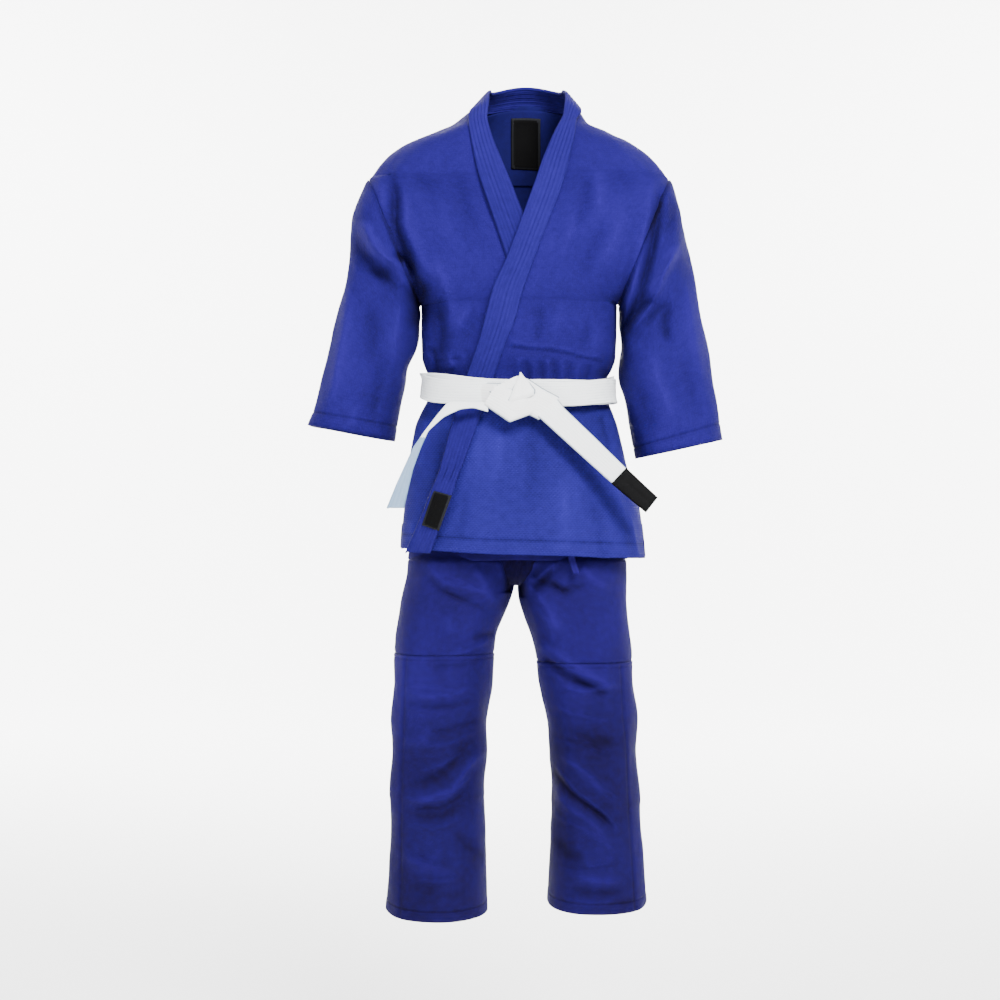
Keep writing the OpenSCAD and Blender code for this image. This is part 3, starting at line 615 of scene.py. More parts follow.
BLUE, DEEP = (24, 14, 85), (6, 3, 34)
M_JACKET = fabric("jacket_weave", BLUE, DEEP, "rice", bump=.0011)
M_SKIRT = fabric("skirt_weave", (31, 25, 102), (10, 7, 48), "diamond", bump=.0005)
M_LAPEL = fabric("lapel_stitched", (24, 16, 85), (7, 4, 38), "stitched", bump=.0009)
M_TROUSER = fabric("trouser_twill", (24, 12, 81), (7, 3, 28), "twill", bump=.0004)
M_LINING = fabric("lining_plain", (21, 17, 80), (7, 5, 36), "plain", bump=.0003)
M_BELT = fabric("belt_cotton", (246, 250, 252), (132, 146, 164), "belt", rough=.85, sheen=.03, bump=.0007, light=(250, 251, 252))
# a blue-grey painted-shade copy of the white belt cotton, used on the belt ends' back faces and the right end's lower
# half
M_BELT_SHADED = fabric("belt_cotton_painted_shade", (120, 147, 178), (88, 110, 140), "belt", rough=.86, sheen=.03, bump=.0007, light=(140, 165, 192))
M_BLACK = fabric("label_satin", (3, 3, 4), (1, 1, 1), "plain", rough=.6, sheen=0.0, bump=.0002, light=(6, 6, 7))
M_EDGE = fabric("label_border", (22, 23, 27), (10, 10, 12), "stitched", rough=.7, sheen=0.0, bump=.0004, light=(34, 35, 40))
Q = 1.0


def res(n):
    return max(6, int(n * Q))


def shade_of(sh, nn, base=0.0):
    return base + np.clip(sh / 32, -.34, .22) + nn / 60


# ------------------------------------------------------------------ jacket body
uk = []
for k in range(1, 15):
    uk.append(100.5 * ((k * 7.0 / 99.5) ** (1 / .43)) / 2.3)
zt = [-97.5 - d for d in uk if d < 40]
zb = [-298.5 + d for d in uk if d < 40]
zs = sorted(set([round(float(z), 3) for z in list(np.linspace(14, -97.6, res(44))) + zt + list(np.linspace(zt[-1], zb[-1], res(64))) + zb + list(np.linspace(-298.6, -466, res(74)))]), reverse=True)
ZB = np.array([zs[0]] + [b for a, b in zip(zs, zs[1:]) if a - b > 0.02])


def body_panel(z, a0, a1, off, m, s0, s1):
    t = np.linspace(0, 1, m)[None, :]
    Z = np.repeat(z[:, None], m, 1)
    # columns spread by true length, not by angle
    A = np.empty_like(Z)
    for i in range(len(z)):
        aa = np.linspace(a0[i], a1[i], 400)
        p = S(aa, np.full(400, z[i]), 0)
        s = np.concatenate([[0], np.cumsum(np.linalg.norm(np.diff(p, axis=0), axis=1))])
        A[i] = np.interp(t[0] * s[-1], s, aa)
    P = S(A, Z, off(A, Z))
    inside = (np.abs(arm_u(Z)) < 1)
    ex = S(edge_angle(z), z, 0)[:, 0] - soft(z, CX)
    for s, on, tt in ((1 if np.cos(a0[0]) > 0 else -1, s0, 1 - t * (2 if s0 and s1 else 1)), (1 if np.cos(a1[0]) > 0 else -1, s1, 1 - (1 - t) * (2 if s0 and s1 else 1))):
        if on:
            w = ease((tt - .58) / .42)
            P[..., 0] += np.where(inside, s * w * (arm_x(Z) - (ex + 0 * soft(z, CX))[:, None]) - s * w * 0 - w * soft(Z, CX), 0)
    return P


def dip(A, Z):
    return -np.interp(Z, [-150, -48, -8, 14], [11.5, 5.0, .8, 0]) * ease(np.degrees(A + np.pi - edge_angle(Z)) / 34) - 8 * ease((Z - 14) / 8)


def finish_panel(name, P, t, mat, noise=1.0, gain=1.0, **kw):
    Qp, sh, nn = folds(P, gain)
    nrm = normals(P, kw.get("closed", False)) * (-1 if kw.get("flip") else 1)
    Qp = Qp + nrm * (nn * noise)[..., None]
    extra = kw.pop("extra", 0)
    return cloth(name, Qp, t, mat, shade=shade_of(sh, nn) + extra, base=P, **kw)


def edge_fade(P, z):
    return P


ea = edge_angle(ZB)
back = body_panel(ZB, ea, np.pi - ea, lambda a, z: 0 * a, res(170), True, True)
zf = np.concatenate([[26, 23, 20, 17], ZB])
eaf = edge_angle(zf)
left = body_panel(zf, front_angle(lk(zf, LL_IN) + 8, zf, 0), -eaf, lambda a, z: -8 * ease((z - 14) / 8), res(130), False, True)
right = body_panel(zf, -np.pi + eaf, front_angle(lk(zf, LR_IN) - 8 + 5 * ease((zf + 40) / 35), zf, -11), dip, res(120), True, False)


def noise_weight(P, z):
    """fine unevenness fades out where pieces meet, so that shared edges stay shared"""
    n, m = P.shape[:2]
    j = np.linspace(0, 1, m)[None]
    return ease(np.minimum(j, 1 - j) * 9) * np.ones((n, 1))


jb = finish_panel("jacket_back", back, 2.6, M_JACKET, noise=noise_weight(back, ZB), inner_mat=M_LINING, flip=True)
jl = finish_panel("jacket_front_left_cloth", left, 2.6, M_JACKET, noise=noise_weight(left, zf), inner_mat=M_LINING, flip=True)
jr = finish_panel("jacket_front_right_cloth", right, 2.4, M_JACKET, noise=noise_weight(right, zf), inner_mat=M_LINING, flip=True)
for o in (jb, jl, jr):
    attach(o, "jacket")
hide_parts("jacket_back_panel")
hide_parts("jacket_front_left")
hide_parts("jacket_front_right")

# yoke lining inside the shoulders
zy = np.linspace(10, -86, res(40))
m = res(90)
A = np.linspace(math.radians(15), math.radians(165), m)[None].repeat(len(zy), 0)
Y = S(A, zy[:, None].repeat(m, 1), -4.6)
yo = finish_panel("yoke_lining", Y, 1.2, M_LINING, noise=.3, flip=True)
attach(yo, "jacket")
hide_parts("shoulder_yoke")


# ------------------------------------------------------------------ bands: collar and lapels
def smooth_path(A, k):
    for _ in range(k):
        B = A.copy()
        B[1:-1] = (A[:-2] + 2 * A[1:-1] + A[2:]) / 4
        A = B
    return A


def resample(A, B, step):
    mid = (A + B) / 2
    s = np.concatenate([[0], np.cumsum(np.linalg.norm(np.diff(mid, axis=0), axis=1))])
    n = max(8, int(s[-1] / step))
    t = np.linspace(0, s[-1], n)
    f = lambda X: np.stack([np.interp(t, s, X[:, c]) for c in range(3)], 1)
    return f(A), f(B)


def band(name, A, B, t, mat, m=20, bulge=1.2, rows=5, step=4.0, smooth=0, flip=False, edge=1.6, surf=None, gain=.35, pad=0):
    A, B = resample(np.array(A, float), np.array(B, float), step / Q)
    A, B = smooth_path(A, smooth), smooth_path(B, smooth)
    j = np.linspace(0, 1, m)
    P = A[:, None] * (1 - j)[None, :, None] + B[:, None] * j[None, :, None]
    if surf is not None:
        P = surf(P)
    N = normals(P, False) * (-1 if flip else 1)
    prof = bulge * (1 - (2 * j - 1) ** 6)
    if rows:
        prof = prof - .55 * np.exp(-((np.abs(((j * (rows + 1)) % 1) - .5) - .5) / .13) ** 2) * (j > .06) * (j < .94)
    prof = prof - edge * (np.exp(-(j / .035) ** 2) + np.exp(-((1 - j) / .035) ** 2))
    base = P
    Pq, sh, nn = folds(P, gain)
    P2 = Pq + N * (prof[None, :] + nn * .25)[..., None]
    # painted shade in the stitch grooves and along both rolled edges of the band
    gro = -.10 * np.exp(-((np.abs(((j * (rows + 1)) % 1) - .5) - .5) / .13) ** 2)[None] if rows else 0
    return cloth(name, P2, t, mat, shade=shade_of(sh, nn * .5) + gro - .08 * (np.exp(-(j / .04) ** 2) + np.exp(-((1 - j) / .04) ** 2))[None], base=base, flip=flip)


def onf(x, z, o):
    return S(front_angle(x, z, o), z, o)


def lap_pts(T, zz, o):
    return onf(lk(zz, T), zz, o)


zu = np.linspace(-462, -16, 110)
LA = list(lap_pts(LL_IN, zu, 8.6))
LB = list(lap_pts(LL_OUT, zu, 5.6))
LA += [np.array(v, float) for v in ([73, -56, 23], [75, -24, 42], [71, 12, 52])]
LB += [np.array(v, float) for v in ([99, -60, 1], [100, -28, 11], [97, 12, 21])]
for a in np.linspace(14, 166, 30):
    r = math.radians(a)
    LA.append(np.array([12.5 + 60 * math.cos(r), 12.5 + 70 * math.sin(r), 50 + 20 * math.sin(r) ** 2]))
    LB.append(np.array([12.5 + 85 * math.cos(r), 12.5 + 91 * math.sin(r), 18 - 11 * math.sin(r) + 28 * math.sin(r) ** 2]))
LA += [np.array(v, float) for v in ([-45, 12, 52], [-48, -24, 42], [-47, -56, 22])]
LB += [np.array(v, float) for v in ([-72, 12, 21], [-76, -28, 11], [-80, -60, 2])]
zd = np.linspace(-16, -462, 110)
ofs = lk(zd, LR_OFF)
LA += list(onf(lk(zd, LR_IN), zd, ofs))
LB += list(onf(lk(zd, LR_OUT), zd, ofs))
col = band("collar_band", LA, LB, 5.2, M_LAPEL, m=res(44), rows=5, smooth=6, flip=False)
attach(col, "jacket")
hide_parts("collar_back", "lapel_left_upper", "lapel_right_upper")

# lower lapels
zl = np.linspace(-450, -690, 80)


def drop(P):
    """the front hem hangs a little lower in the middle"""
    t = ease((-P[..., 2] - 480) / 206)
    s = np.interp(P[..., 0], [-190, -120, -40, 80, 160, 200], [2, -1, -5, -8, -12, -14])
    P = P.copy()
    P[..., 2] += t * s
    return P


lo = band("lapel_left_lower_band", drop(lap_pts(LL_IN, zl, 8.2)), drop(lap_pts(LL_OUT, zl, 7.8)), 5, M_LAPEL, m=res(34), rows=5, smooth=2, flip=False, gain=.6)
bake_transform(lo)
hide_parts("lapel_left_lower")
ro = band("lapel_right_lower_band", onf(lk(zl, LR_IN), zl, -4.4 + 0 * zl), onf(lk(zl, LR_OUT), zl, -4.4 + 0 * zl), 3.8, M_LAPEL, m=res(24), rows=5, smooth=2, flip=False, gain=.5)
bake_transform(ro)
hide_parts("lapel_right_lower")

# ------------------------------------------------------------------ skirt
zk = np.concatenate([np.linspace(-446, -676, res(92)), [-677.5, -679, -680.5, -683, -686]])


def hem_shade(z, at, w=2.2):
    return -.22 * np.exp(-((z - at) / w) ** 2)


def skirt(name, a0, a1, off, m, inn=-0.6):
    t = np.linspace(0, 1, m)
    A = a0[:, None] * (1 - t) + a1[:, None] * t
    for i in range(len(zk)):
        aa = np.linspace(a0[i], a1[i], 300)
        p = S(aa, np.full(300, zk[i]), 0)
        s = np.concatenate([[0], np.cumsum(np.linalg.norm(np.diff(p, axis=0), axis=1))])
        A[i] = np.interp(t * s[-1], s, aa)
    Z = zk[:, None].repeat(m, 1)
    P = S(A, Z, off(A, Z) + inn * ease((Z + 470) / 20))
    Qp, sh, nn = folds(P, 1.0)
    nrm = -normals(P, False)
    groove = -.9 * np.exp(-((Z + 664) / 2.5) ** 2) + .5 * ease((-Z - 665) / 3)
    flare = 2.4 * ease((-Z - 560) / 120) * np.sin(P[..., 0] / 26.0 + 1.0)
    Qp = Qp + nrm * (nn * .9 * noise_weight(P, zk) + groove + flare)[..., None]
    if name != "skirt_back_cloth":
        Qp = drop(Qp)
    return cloth(name, Qp, 2.6, M_SKIRT, shade=shade_of(sh, nn) + hem_shade(Z, -664), base=P, inner_mat=M_LINING, flip=True)


e0 = math.radians(1.2)
sfl = skirt("skirt_front_left_cloth", front_angle(lk(zk, LL_IN) + 8, zk, 0), np.full(len(zk), -e0), lambda a, z: 0 * a, res(150))
sfr = skirt("skirt_front_right_cloth", np.full(len(zk), -math.pi + e0), front_angle(lk(zk, LR_IN) - 8, zk, -11), lambda a, z: -11.5 * ease((np.degrees(a) + 172) / 30), res(140))
sb = skirt("skirt_back_cloth", np.full(len(zk), e0), np.full(len(zk), math.pi - e0), lambda a, z: 0 * a, res(170))
for o, n in ((sfl, "skirt_front_left"), (sfr, "skirt_front_right")):
    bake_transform(o)
    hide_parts(n)
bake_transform(sb)
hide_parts("skirt_back")


def vent(name, a0, a1, o=2.6, dz=0.0):
    z = np.linspace(-646, -684, res(22))
    aa = np.radians(np.linspace(a0, a1, res(14)))
    P = S(aa[None].repeat(len(z), 0), z[:, None].repeat(len(aa), 1), o)
    if dz:
        P[..., 2] += dz
    Qp, sh, nn = folds(P, 1.0)
    j = np.linspace(0, 1, len(aa))[None]
    i = np.linspace(0, 1, len(z))[:, None]
    rim = -.2 * (np.exp(-(j / .16) ** 2) + np.exp(-((1 - j) / .16) ** 2) + np.exp(-(i / .12) ** 2))
    return cloth(name, Qp, 1.2, M_LAPEL, shade=rim, base=P, flip=True)


def join_panels(name, obs):
    W = sum(MESHES[o.name][0] for o in obs)
    L = max(MESHES[o.name][1] for o in obs)
    Ar = sum(MESHES[o.name][2] for o in obs)
    bpy.ops.object.select_all(action="DESELECT")
    for o in obs:
        o.select_set(True)
    bpy.context.view_layer.objects.active = obs[0]
    bpy.ops.object.join()
    obs[0].name = name
    obs[0].data.name = name
    MESHES[name] = (W, L, min(Ar, W * L))
    return obs[0]


vf = vent("vent_patch_front_cloth", -9, -2, 2.8, -13)
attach(vf, "skirt_front")
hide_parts("side_vent_patches_front")
vb = join_panels("vent_patches_back_cloth", [vent("vb1", 2, 9), vent("vb2", 171, 178)])
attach(vb, "skirt_back")
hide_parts("side_vent_patches_back")


# ------------------------------------------------------------------ labels
def patch(name, quad, node, body, slot_mat, y=None, surf=None, off=1.0, blend=None):
    n = res(26)
    a, b, c, d = [np.array(q, float) for q in quad]      # corners going round
    i = np.linspace(0, 1, n)[:, None, None]
    j = np.linspace(0, 1, n)[None, :, None]
    P = (a * (1 - j) + b * j) * (1 - i) + (d * (1 - j) + c * j) * i
    P = surf(P)
    ii = np.linspace(0, 1, n)[:, None]
    jj = np.linspace(0, 1, n)[None]
    e = np.minimum(np.minimum(ii, 1 - ii) * np.linalg.norm(d - a), np.minimum(jj, 1 - jj) * np.linalg.norm(b - a))
    N = normals(P, False)
    if (N[..., 1].mean() > 0) != (off < 0):
        N = -N
    P = P + N * (.5 * ease(e / 2) + .35 * np.exp(-((e - 4) / 1.2) ** 2))[..., None]
    fl = (normals(P, False)[..., 1].mean() > 0) != (off < 0)
    ob = cloth(name, P, .9, M_BLACK, base=P, flip=fl, inner_mat=M_LINING)
    # woven border: the outermost 3.6 mm take the border's own material
    ob.data.materials.append(M_EDGE)
    ec = ((e[:-1, :-1] + e[1:, 1:]) / 2).ravel()
    idx = np.zeros(len(ob.data.polygons), np.int32)
    ob.data.polygons.foreach_get("material_index", idx)
    idx[:len(ec)] = np.where(ec < 3.4, 2, 0)
    ob.data.polygons.foreach_set("material_index", idx)
    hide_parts(node)
    return ob


lp = patch("lapel_patch_cloth", [(-133, 0, -593), (-104, 0, -600), (-124, 0, -655), (-151, 0, -647)], "lapel_patch", "skirt_front", M_BLACK,
           surf=lambda P: folds(drop(onf(P[..., 0], P[..., 2], 12.2)), .6)[0])
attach(lp, "skirt_front")
nl = patch("neck_label_cloth", [(-13, 0, 2), (39, 0, 2), (38, 0, -62), (-12, 0, -60)], "neck_label", "jacket", M_BLACK,
           surf=lambda P: S(-front_angle(P[..., 0], P[..., 2], 0), P[..., 2], -7.0), off=1.0)
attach(nl, "jacket")

# ------------------------------------------------------------------ belt
BW = 38.0


def ring_belt(name, o, th, dz, node, seed):
    n = res(240)
    a = np.linspace(0, 2 * math.pi, n, endpoint=False)
    ts = np.linspace(.5, -.5, res(26))
    wob = 1.6 * np.sin(a * 2 + seed) + 1.2 * np.sin(a * 5 + seed * 2)
    Z = -430 + dz + ts[:, None] * BW + (12 * np.minimum(0, np.sin(a)) - 3.5 * np.cos(a) + wob)[None]
    A = a[None].repeat(len(ts), 0)
    P = S(A, np.clip(Z, -463, -406) * 0 + np.clip(Z, -470, -400), o + .5 * np.sin(3 * a + seed)[None])
    P[..., 2] = Z
    j = ts + .5
    prof = -.9 * (np.exp(-(j / .04) ** 2) + np.exp(-((1 - j) / .04) ** 2)) - .35 * np.exp(-((np.abs(((j * 8) % 1) - .5) - .5) / .14) ** 2)
    N = normals(P, True)
    s = 1 if (N[:, 0, 0].mean() > 0) else -1
    P2 = P + s * N * prof[:, None, None]
    u = (j * BW / 1000)[:, None].repeat(n + 1, 1)
    v = np.concatenate([arc(P)[0][:1], arc(P)[0][:1, -1:] + .003], 1).repeat(len(ts), 0)
    ob = cloth(name, P2, th, M_BELT, closed=True, flip=s < 0, uv=np.stack([u, v], -1), base=P, shade=(prof * .12)[:, None].repeat(n, 1))
    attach(ob, "jacket")
    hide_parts(node)
    return ob


ring_belt("belt_inner", 11.4, 2.4, 2.2, "belt_inner_wrap", .6)
ring_belt("belt_outer", 15.0, 2.8, -.6, "belt_outer_wrap", 2.1)


def ruled(name, top, bot, th, mat, back=None, m=22, rnd=1.6, steps=70, sm=3, rows=8, thick_mid=0.0, side=-1, painted_shade_offset=0.0):
    """a strap between two edge lines, rows of points (mm)"""
    top, bot = np.array(top, float), np.array(bot, float)

    def fine(L):
        s = np.concatenate([[0], np.cumsum(np.linalg.norm(np.diff(L, axis=0), axis=1))])
        t = np.linspace(0, s[-1], steps)
        R = np.stack([np.interp(t, s, L[:, c]) for c in range(3)], 1)
        return smooth_path(R, sm)
    A, B = fine(top), fine(bot)
    j = np.linspace(0, 1, m)
    P = A[:, None] * (1 - j)[None, :, None] + B[:, None] * j[None, :, None]
    N = normals(P, False)
    s = side if (N[..., 1].mean() > 0) else -side
    prof = thick_mid * (1 - (2 * j - 1) ** 4) - rnd * (np.exp(-(j / .05) ** 2) + np.exp(-((1 - j) / .05) ** 2)) - .3 * np.exp(-((np.abs(((j * rows) % 1) - .5) - .5) / .14) ** 2)
    P2 = P + s * N * prof[None, :, None]
    w = np.linalg.norm(B - A, axis=1).mean() / 1000
    u = (j * w)[None].repeat(steps, 0)
    v = arc(P)[1][:, m // 2][:, None].repeat(m, 1)
    # painted shade: the strap's rolled edges and thread rows darker, plus a flat painted-shade offset for the whole
    # strap
    return cloth(name, P2, th, mat, flip=s < 0, uv=np.stack([u, v], -1), base=P, inner_mat=back, shade=(prof * .34 + painted_shade_offset)[None].repeat(steps, 0))


def P3(pts, f, ys):
    q = px(pts, f)
    return [[q[i, 0], ys[i], q[i, 1]] for i in range(len(pts))]


# knot: a pad of wraps underneath, the band crossing over it, and the tucked triangular fold on top
# painted shade: knot_a and knot_c a little greyer, the tucked triangle knot_d greyest, for the shade they lie in
k1 = ruled("knot_a", P3([(474, 381), (497, 383), (520, 384), (544, 388)], .957, [-108, -138, -139, -133]), P3([(474, 405), (496, 408), (520, 410), (540, 411)], .957, [-108, -139, -140, -134]), 4, M_BELT, painted_shade_offset=-.12, thick_mid=3.4, rnd=2.2, steps=res(60), m=res(26))
k2 = ruled("knot_b", P3([(519, 375), (528, 378), (543, 388), (560, 397)], .955, [-140, -143, -142, -139]), P3([(489, 391), (500, 399), (521, 411), (539, 420)], .955, [-139, -146, -146, -140]), 4, M_BELT, thick_mid=3.6, rnd=2.4, steps=res(60), m=res(26))
k3 = ruled("knot_c", P3([(497, 384), (512, 388), (524, 396), (538, 392)], .954, [-141, -149, -151, -142]), P3([(484, 405), (497, 414), (510, 423), (536, 413)], .954, [-139, -147, -149, -142]), 4, M_BELT, painted_shade_offset=-.15, thick_mid=3.8, rnd=2.4, steps=res(60), m=res(26))
k4 = ruled("knot_d", P3([(520.6, 372.6), (514, 385), (508, 400), (507, 403)], .953, [-142, -150, -154, -151]), P3([(521.6, 373), (530, 382), (536, 390), (536, 394)], .953, [-142, -150, -153, -149]), 3, M_BELT, painted_shade_offset=-.27, thick_mid=3.2, rnd=2.4, steps=res(50), m=res(24), sm=2)
kn = join_panels("belt_knot_folds", [k1, k2, k3, k4])
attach(kn, "jacket")
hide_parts("belt_knot")

tl = ruled("belt_end_left", P3([(556, 396), (565, 408), (596, 438), (627, 468.7)], .954, [-141, -146, -150, -152]), P3([(533, 413), (541, 419), (577, 452), (612.6, 484)], .954, [-141, -146, -150, -152]), 3.4, M_BELT, thick_mid=.5, steps=res(80), m=res(26), back=M_BELT_SHADED)
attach(tl, "belt_tail_left")
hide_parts("belt_tail_left")
el = ruled("belt_end_sleeve", P3([(626.5, 467.6), (642, 482.4), (658, 497.3)], .953, [-153, -153.6, -153]), P3([(611.4, 483.6), (628.5, 498), (646, 512.6)], .953, [-153, -153.6, -153]), 5.6, M_BLACK, thick_mid=.9, steps=res(40), m=res(22), rows=2)
el.data.materials.append(M_EDGE)
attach(el, "belt_tail_left")
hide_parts("belt_end_label")

F = .958
tr = ruled("belt_end_right", P3([(489, 402), (470, 402), (457, 400.5), (447.6, 401.5), (436, 416), (413, 447), (396.6, 482), (385.7, 508)], F, [-137, -135, -134, -134, -137, -140, -134, -127]),
           P3([(488, 412), (474, 407.5), (461, 409), (444, 417), (428, 431), (421, 448), (413, 470), (404, 508)], F, [-141, -141, -141, -141, -142, -147, -146, -143]), 3.0, M_BELT, thick_mid=.6, steps=res(100), m=res(26), back=M_BELT_SHADED)
# its lower half shows the blue-grey painted-shade copy of the belt cotton on its outer face, standing for the shade on
# the twisted end
zt_ = np.array([v.co.z for v in tr.data.vertices])
tr.data.materials.append(M_BELT_SHADED)
for p in tr.data.polygons:
    if p.material_index == 0 and sum(zt_[i] for i in p.vertices) / 4 < -.512:
        p.material_index = 1
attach(tr, "belt_tail_right")
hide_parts("belt_tail_right")


# ------------------------------------------------------------------ sleeves
def sleeve(T, s, name, node, cuffnode, body):
    T = np.array(T, float)
    n = res(150)
    mid = (T[:, :2] + T[:, 2:4]) / 2
    d = np.concatenate([[0], np.cumsum(np.linalg.norm(np.diff(mid, axis=0), axis=1))])
    L = d[-1]
    t = np.concatenate([np.linspace(0, L - 26, n), L - np.array([24, 23, 22, 21, 20, 14, 8, 3, 0])])
    R = np.stack([sum(np.interp(t + q * 14, d, T[:, c]) for q in (-1, -.5, 0, .5, 1)) / 5 for c in range(5)], 1)
    R[0] = T[0]
    w0 = ease(t / 22)[:, None]
    R = R * w0 + np.stack([np.interp(t, d, T[:, c]) for c in range(5)], 1) * (1 - w0)
    R[-1] = T[-1]
    m = res(190)
    f = np.linspace(0, 2 * math.pi, m, endpoint=False)
    # even spacing round the oval
    xx, yy = spw(np.cos(np.linspace(0, 2 * math.pi, 1441)), .86), spw(np.sin(np.linspace(0, 2 * math.pi, 1441)), .86)
    ss = np.concatenate([[0], np.cumsum(np.hypot(np.diff(xx), np.diff(yy)))])
    f = np.interp(np.arange(m) / m * ss[-1], ss, np.linspace(0, 2 * math.pi, 1441))
    A = np.stack([R[:, 0], 0 * t, R[:, 1]], 1)
    B = np.stack([R[:, 2], 0 * t, R[:, 3]], 1)
    c, h = (A + B) / 2, (A - B) / 2
    P = c[:, None] + h[:, None] * spw(np.cos(f), .86)[None, :, None]
    P[..., 1] += s * R[:, 4][:, None] * spw(np.sin(f), .86)[None]
    Qp, sh, nn = folds(P, 1.0)
    N = normals(P, True)
    cen = P.mean(1, keepdims=True)
    sg = 1 if ((P - cen) * N).sum(-1).mean() > 0 else -1
    tt = t[:, None]
    # side and back creases that the front lines don't reach
    th = np.arctan2(P[..., 1], (P[..., 0] - cen[..., 0]) * s)
    ring = 3.0 * np.sin(tt / 21.0 + 2.2 * np.sin(th * 1.0 + 1.0) + 1.5 * s) * ease(tt / 50) * ease((L - 60 - tt) / 60) * (1 - ease((-P[..., 1] - 10) / 40)) * np.exp(-((tt - 120) / 130) ** 2)
    groove = -.9 * np.exp(-((tt - (L - 22)) / 1.6) ** 2) + .4 * ease((tt - (L - 22)) / 3)
    seam = -1.2 * np.exp(-(tt / 2.5) ** 2)
    fade = ease(tt / 30)
    Qp = Qp + sg * N * (nn * .9 * fade + ring + groove + seam)[..., None]
    # seam allowance turned into the armhole
    nrm0 = np.array([-.9 * s, 0, .44])
    turned = Qp[:1] + (cen[:1] - Qp[:1]) * .03 + np.array([-s * 5.0, 0, 2.4])
    turned2 = Qp[:1] + (cen[:1] - Qp[:1]) * .012 + np.array([-s * 1.5, 0, .8])
    Qp = np.concatenate([turned, turned2, Qp])
    shd = shade_of(sh, nn) - .2 * np.exp(-((tt - (L - 22)) / 2.2) ** 2) - .25 * np.exp(-(tt / 3) ** 2)
    shd = np.concatenate([shd[:1], shd[:1], shd])
    ob = cloth(name, Qp, 2.6, M_JACKET, closed=True, flip=sg < 0, shade=shd, base=P, inner_mat=M_LINING)
    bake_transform(ob)
    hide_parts(node)
    # turned-in cuff
    k = (t > L - 26)
    Pc = Qp[2:][k]
    Nn = normals(Qp[2:], True)[k] * sg
    Pc = Pc - Nn * 2.8
    cf = cloth(name + "_cuff", Pc, 1.2, M_LINING, closed=True, flip=sg < 0, base=Pc)
    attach(cf, body)
    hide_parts(cuffnode)
    return ob


sleeve(SL_L, 1, "sleeve_left_cloth", "sleeve_left", "cuff_left", "sleeve_left")
sleeve(SL_R, -1, "sleeve_right_cloth", "sleeve_right", "cuff_right", "sleeve_right")


# ------------------------------------------------------------------ trousers
def oval(m):
    xx, yy = spw(np.cos(np.linspace(0, 2 * math.pi, 1441)), .86), spw(np.sin(np.linspace(0, 2 * math.pi, 1441)), .86)
    ss = np.concatenate([[0], np.cumsum(np.hypot(np.diff(xx), np.diff(yy)))])
    f = np.interp(np.arange(m) / m * ss[-1], ss, np.linspace(0, 2 * math.pi, 1441))
    return spw(np.cos(f), .86), spw(np.sin(f), .86), f


def tube(z, cx, hw, hd, m):
    X, Y, f = oval(m)
    return np.stack([cx[:, None] + hw[:, None] * X, hd[:, None] * Y, z[:, None] + 0 * X], -1), f


z = np.linspace(-398, -702, res(90))
P, f = tube(z, 0 * z - 2, soft(z, HIP) - 1.5, soft(z, HIP, 2) - 1.5, res(180))
th = f[None]
gath = 2.4 * np.sin(th * 34) * ease((-399 - z[:, None]) / 12) * ease((z[:, None] + 500) / 70)
N = normals(P, True)
sg = 1 if (P * N)[..., :2].sum(-1).mean() > 0 else -1
nn = vnoise(P / 1000 * [14, 14, 9], 11)
P2 = P + sg * N * ((gath - 2.4 * ease((z[:, None] + 500) / 70)) + 1.5 * nn - 1.0 + 4.0 * ease((-640 - z[:, None]) / 48))[..., None]
P2[..., 1] -= np.sign(P[..., 1]) * 30 * np.exp(-((P[..., 0] + 3) / 27) ** 2) * ease((-664 - z[:, None]) / 38) * ease((np.abs(P[..., 1]) - 30) / 40)
hp = cloth("trouser_hips_cloth", P2, 2.2, M_TROUSER, closed=True, flip=sg < 0, base=P, shade=nn * .05 + gath * .03)
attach(hp, "trousers")
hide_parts("trouser_hips")
z = np.linspace(-397, -438, res(26))
P, f = tube(z, 0 * z - 2, soft(z, HIP) - 4.6, soft(z, HIP, 2) - 4.6, res(160))
wb = cloth("waistband_cloth", P, 2.2, M_TROUSER, closed=True, flip=sg < 0, base=P, shade=(-.2 * np.exp(-((z + 434) / 2) ** 2))[:, None] + 0 * f)
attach(wb, "trousers")
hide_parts("trouser_waistband")

# crotch: a saddle from the front rise to the back rise
n, m = res(70), res(40)
ph = np.linspace(-math.pi / 2, math.pi / 2, n)[:, None]
x = np.linspace(-34, 34, m)[None] * (1 - .8 * np.cos(ph) ** 1.1)
yy = 80 * spw(np.sin(ph), .7)
zz = -690 - 54 * spw(np.cos(ph), .8) - 10 * (np.abs(x) / 34) ** 2 * np.cos(ph)
G = np.stack([x - 5 + 0 * ph, yy * (1 + .07 * (np.abs(x) / 34) ** 1.5), zz + 0 * x], -1)
Gq, sh, nn = folds(G, .5)
gf = normals(G, False)[n // 2, m // 2, 2] > 0
# painted shade: the whole gusset is darkened for the shadow between the legs
gu = cloth("crotch_gusset_cloth", Gq, 2.2, M_TROUSER, flip=gf, base=G, shade=-.3 + 0 * G[..., 0])
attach(gu, "trousers")
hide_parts("crotch_gusset")

X_, Y_, f_ = oval(res(180))


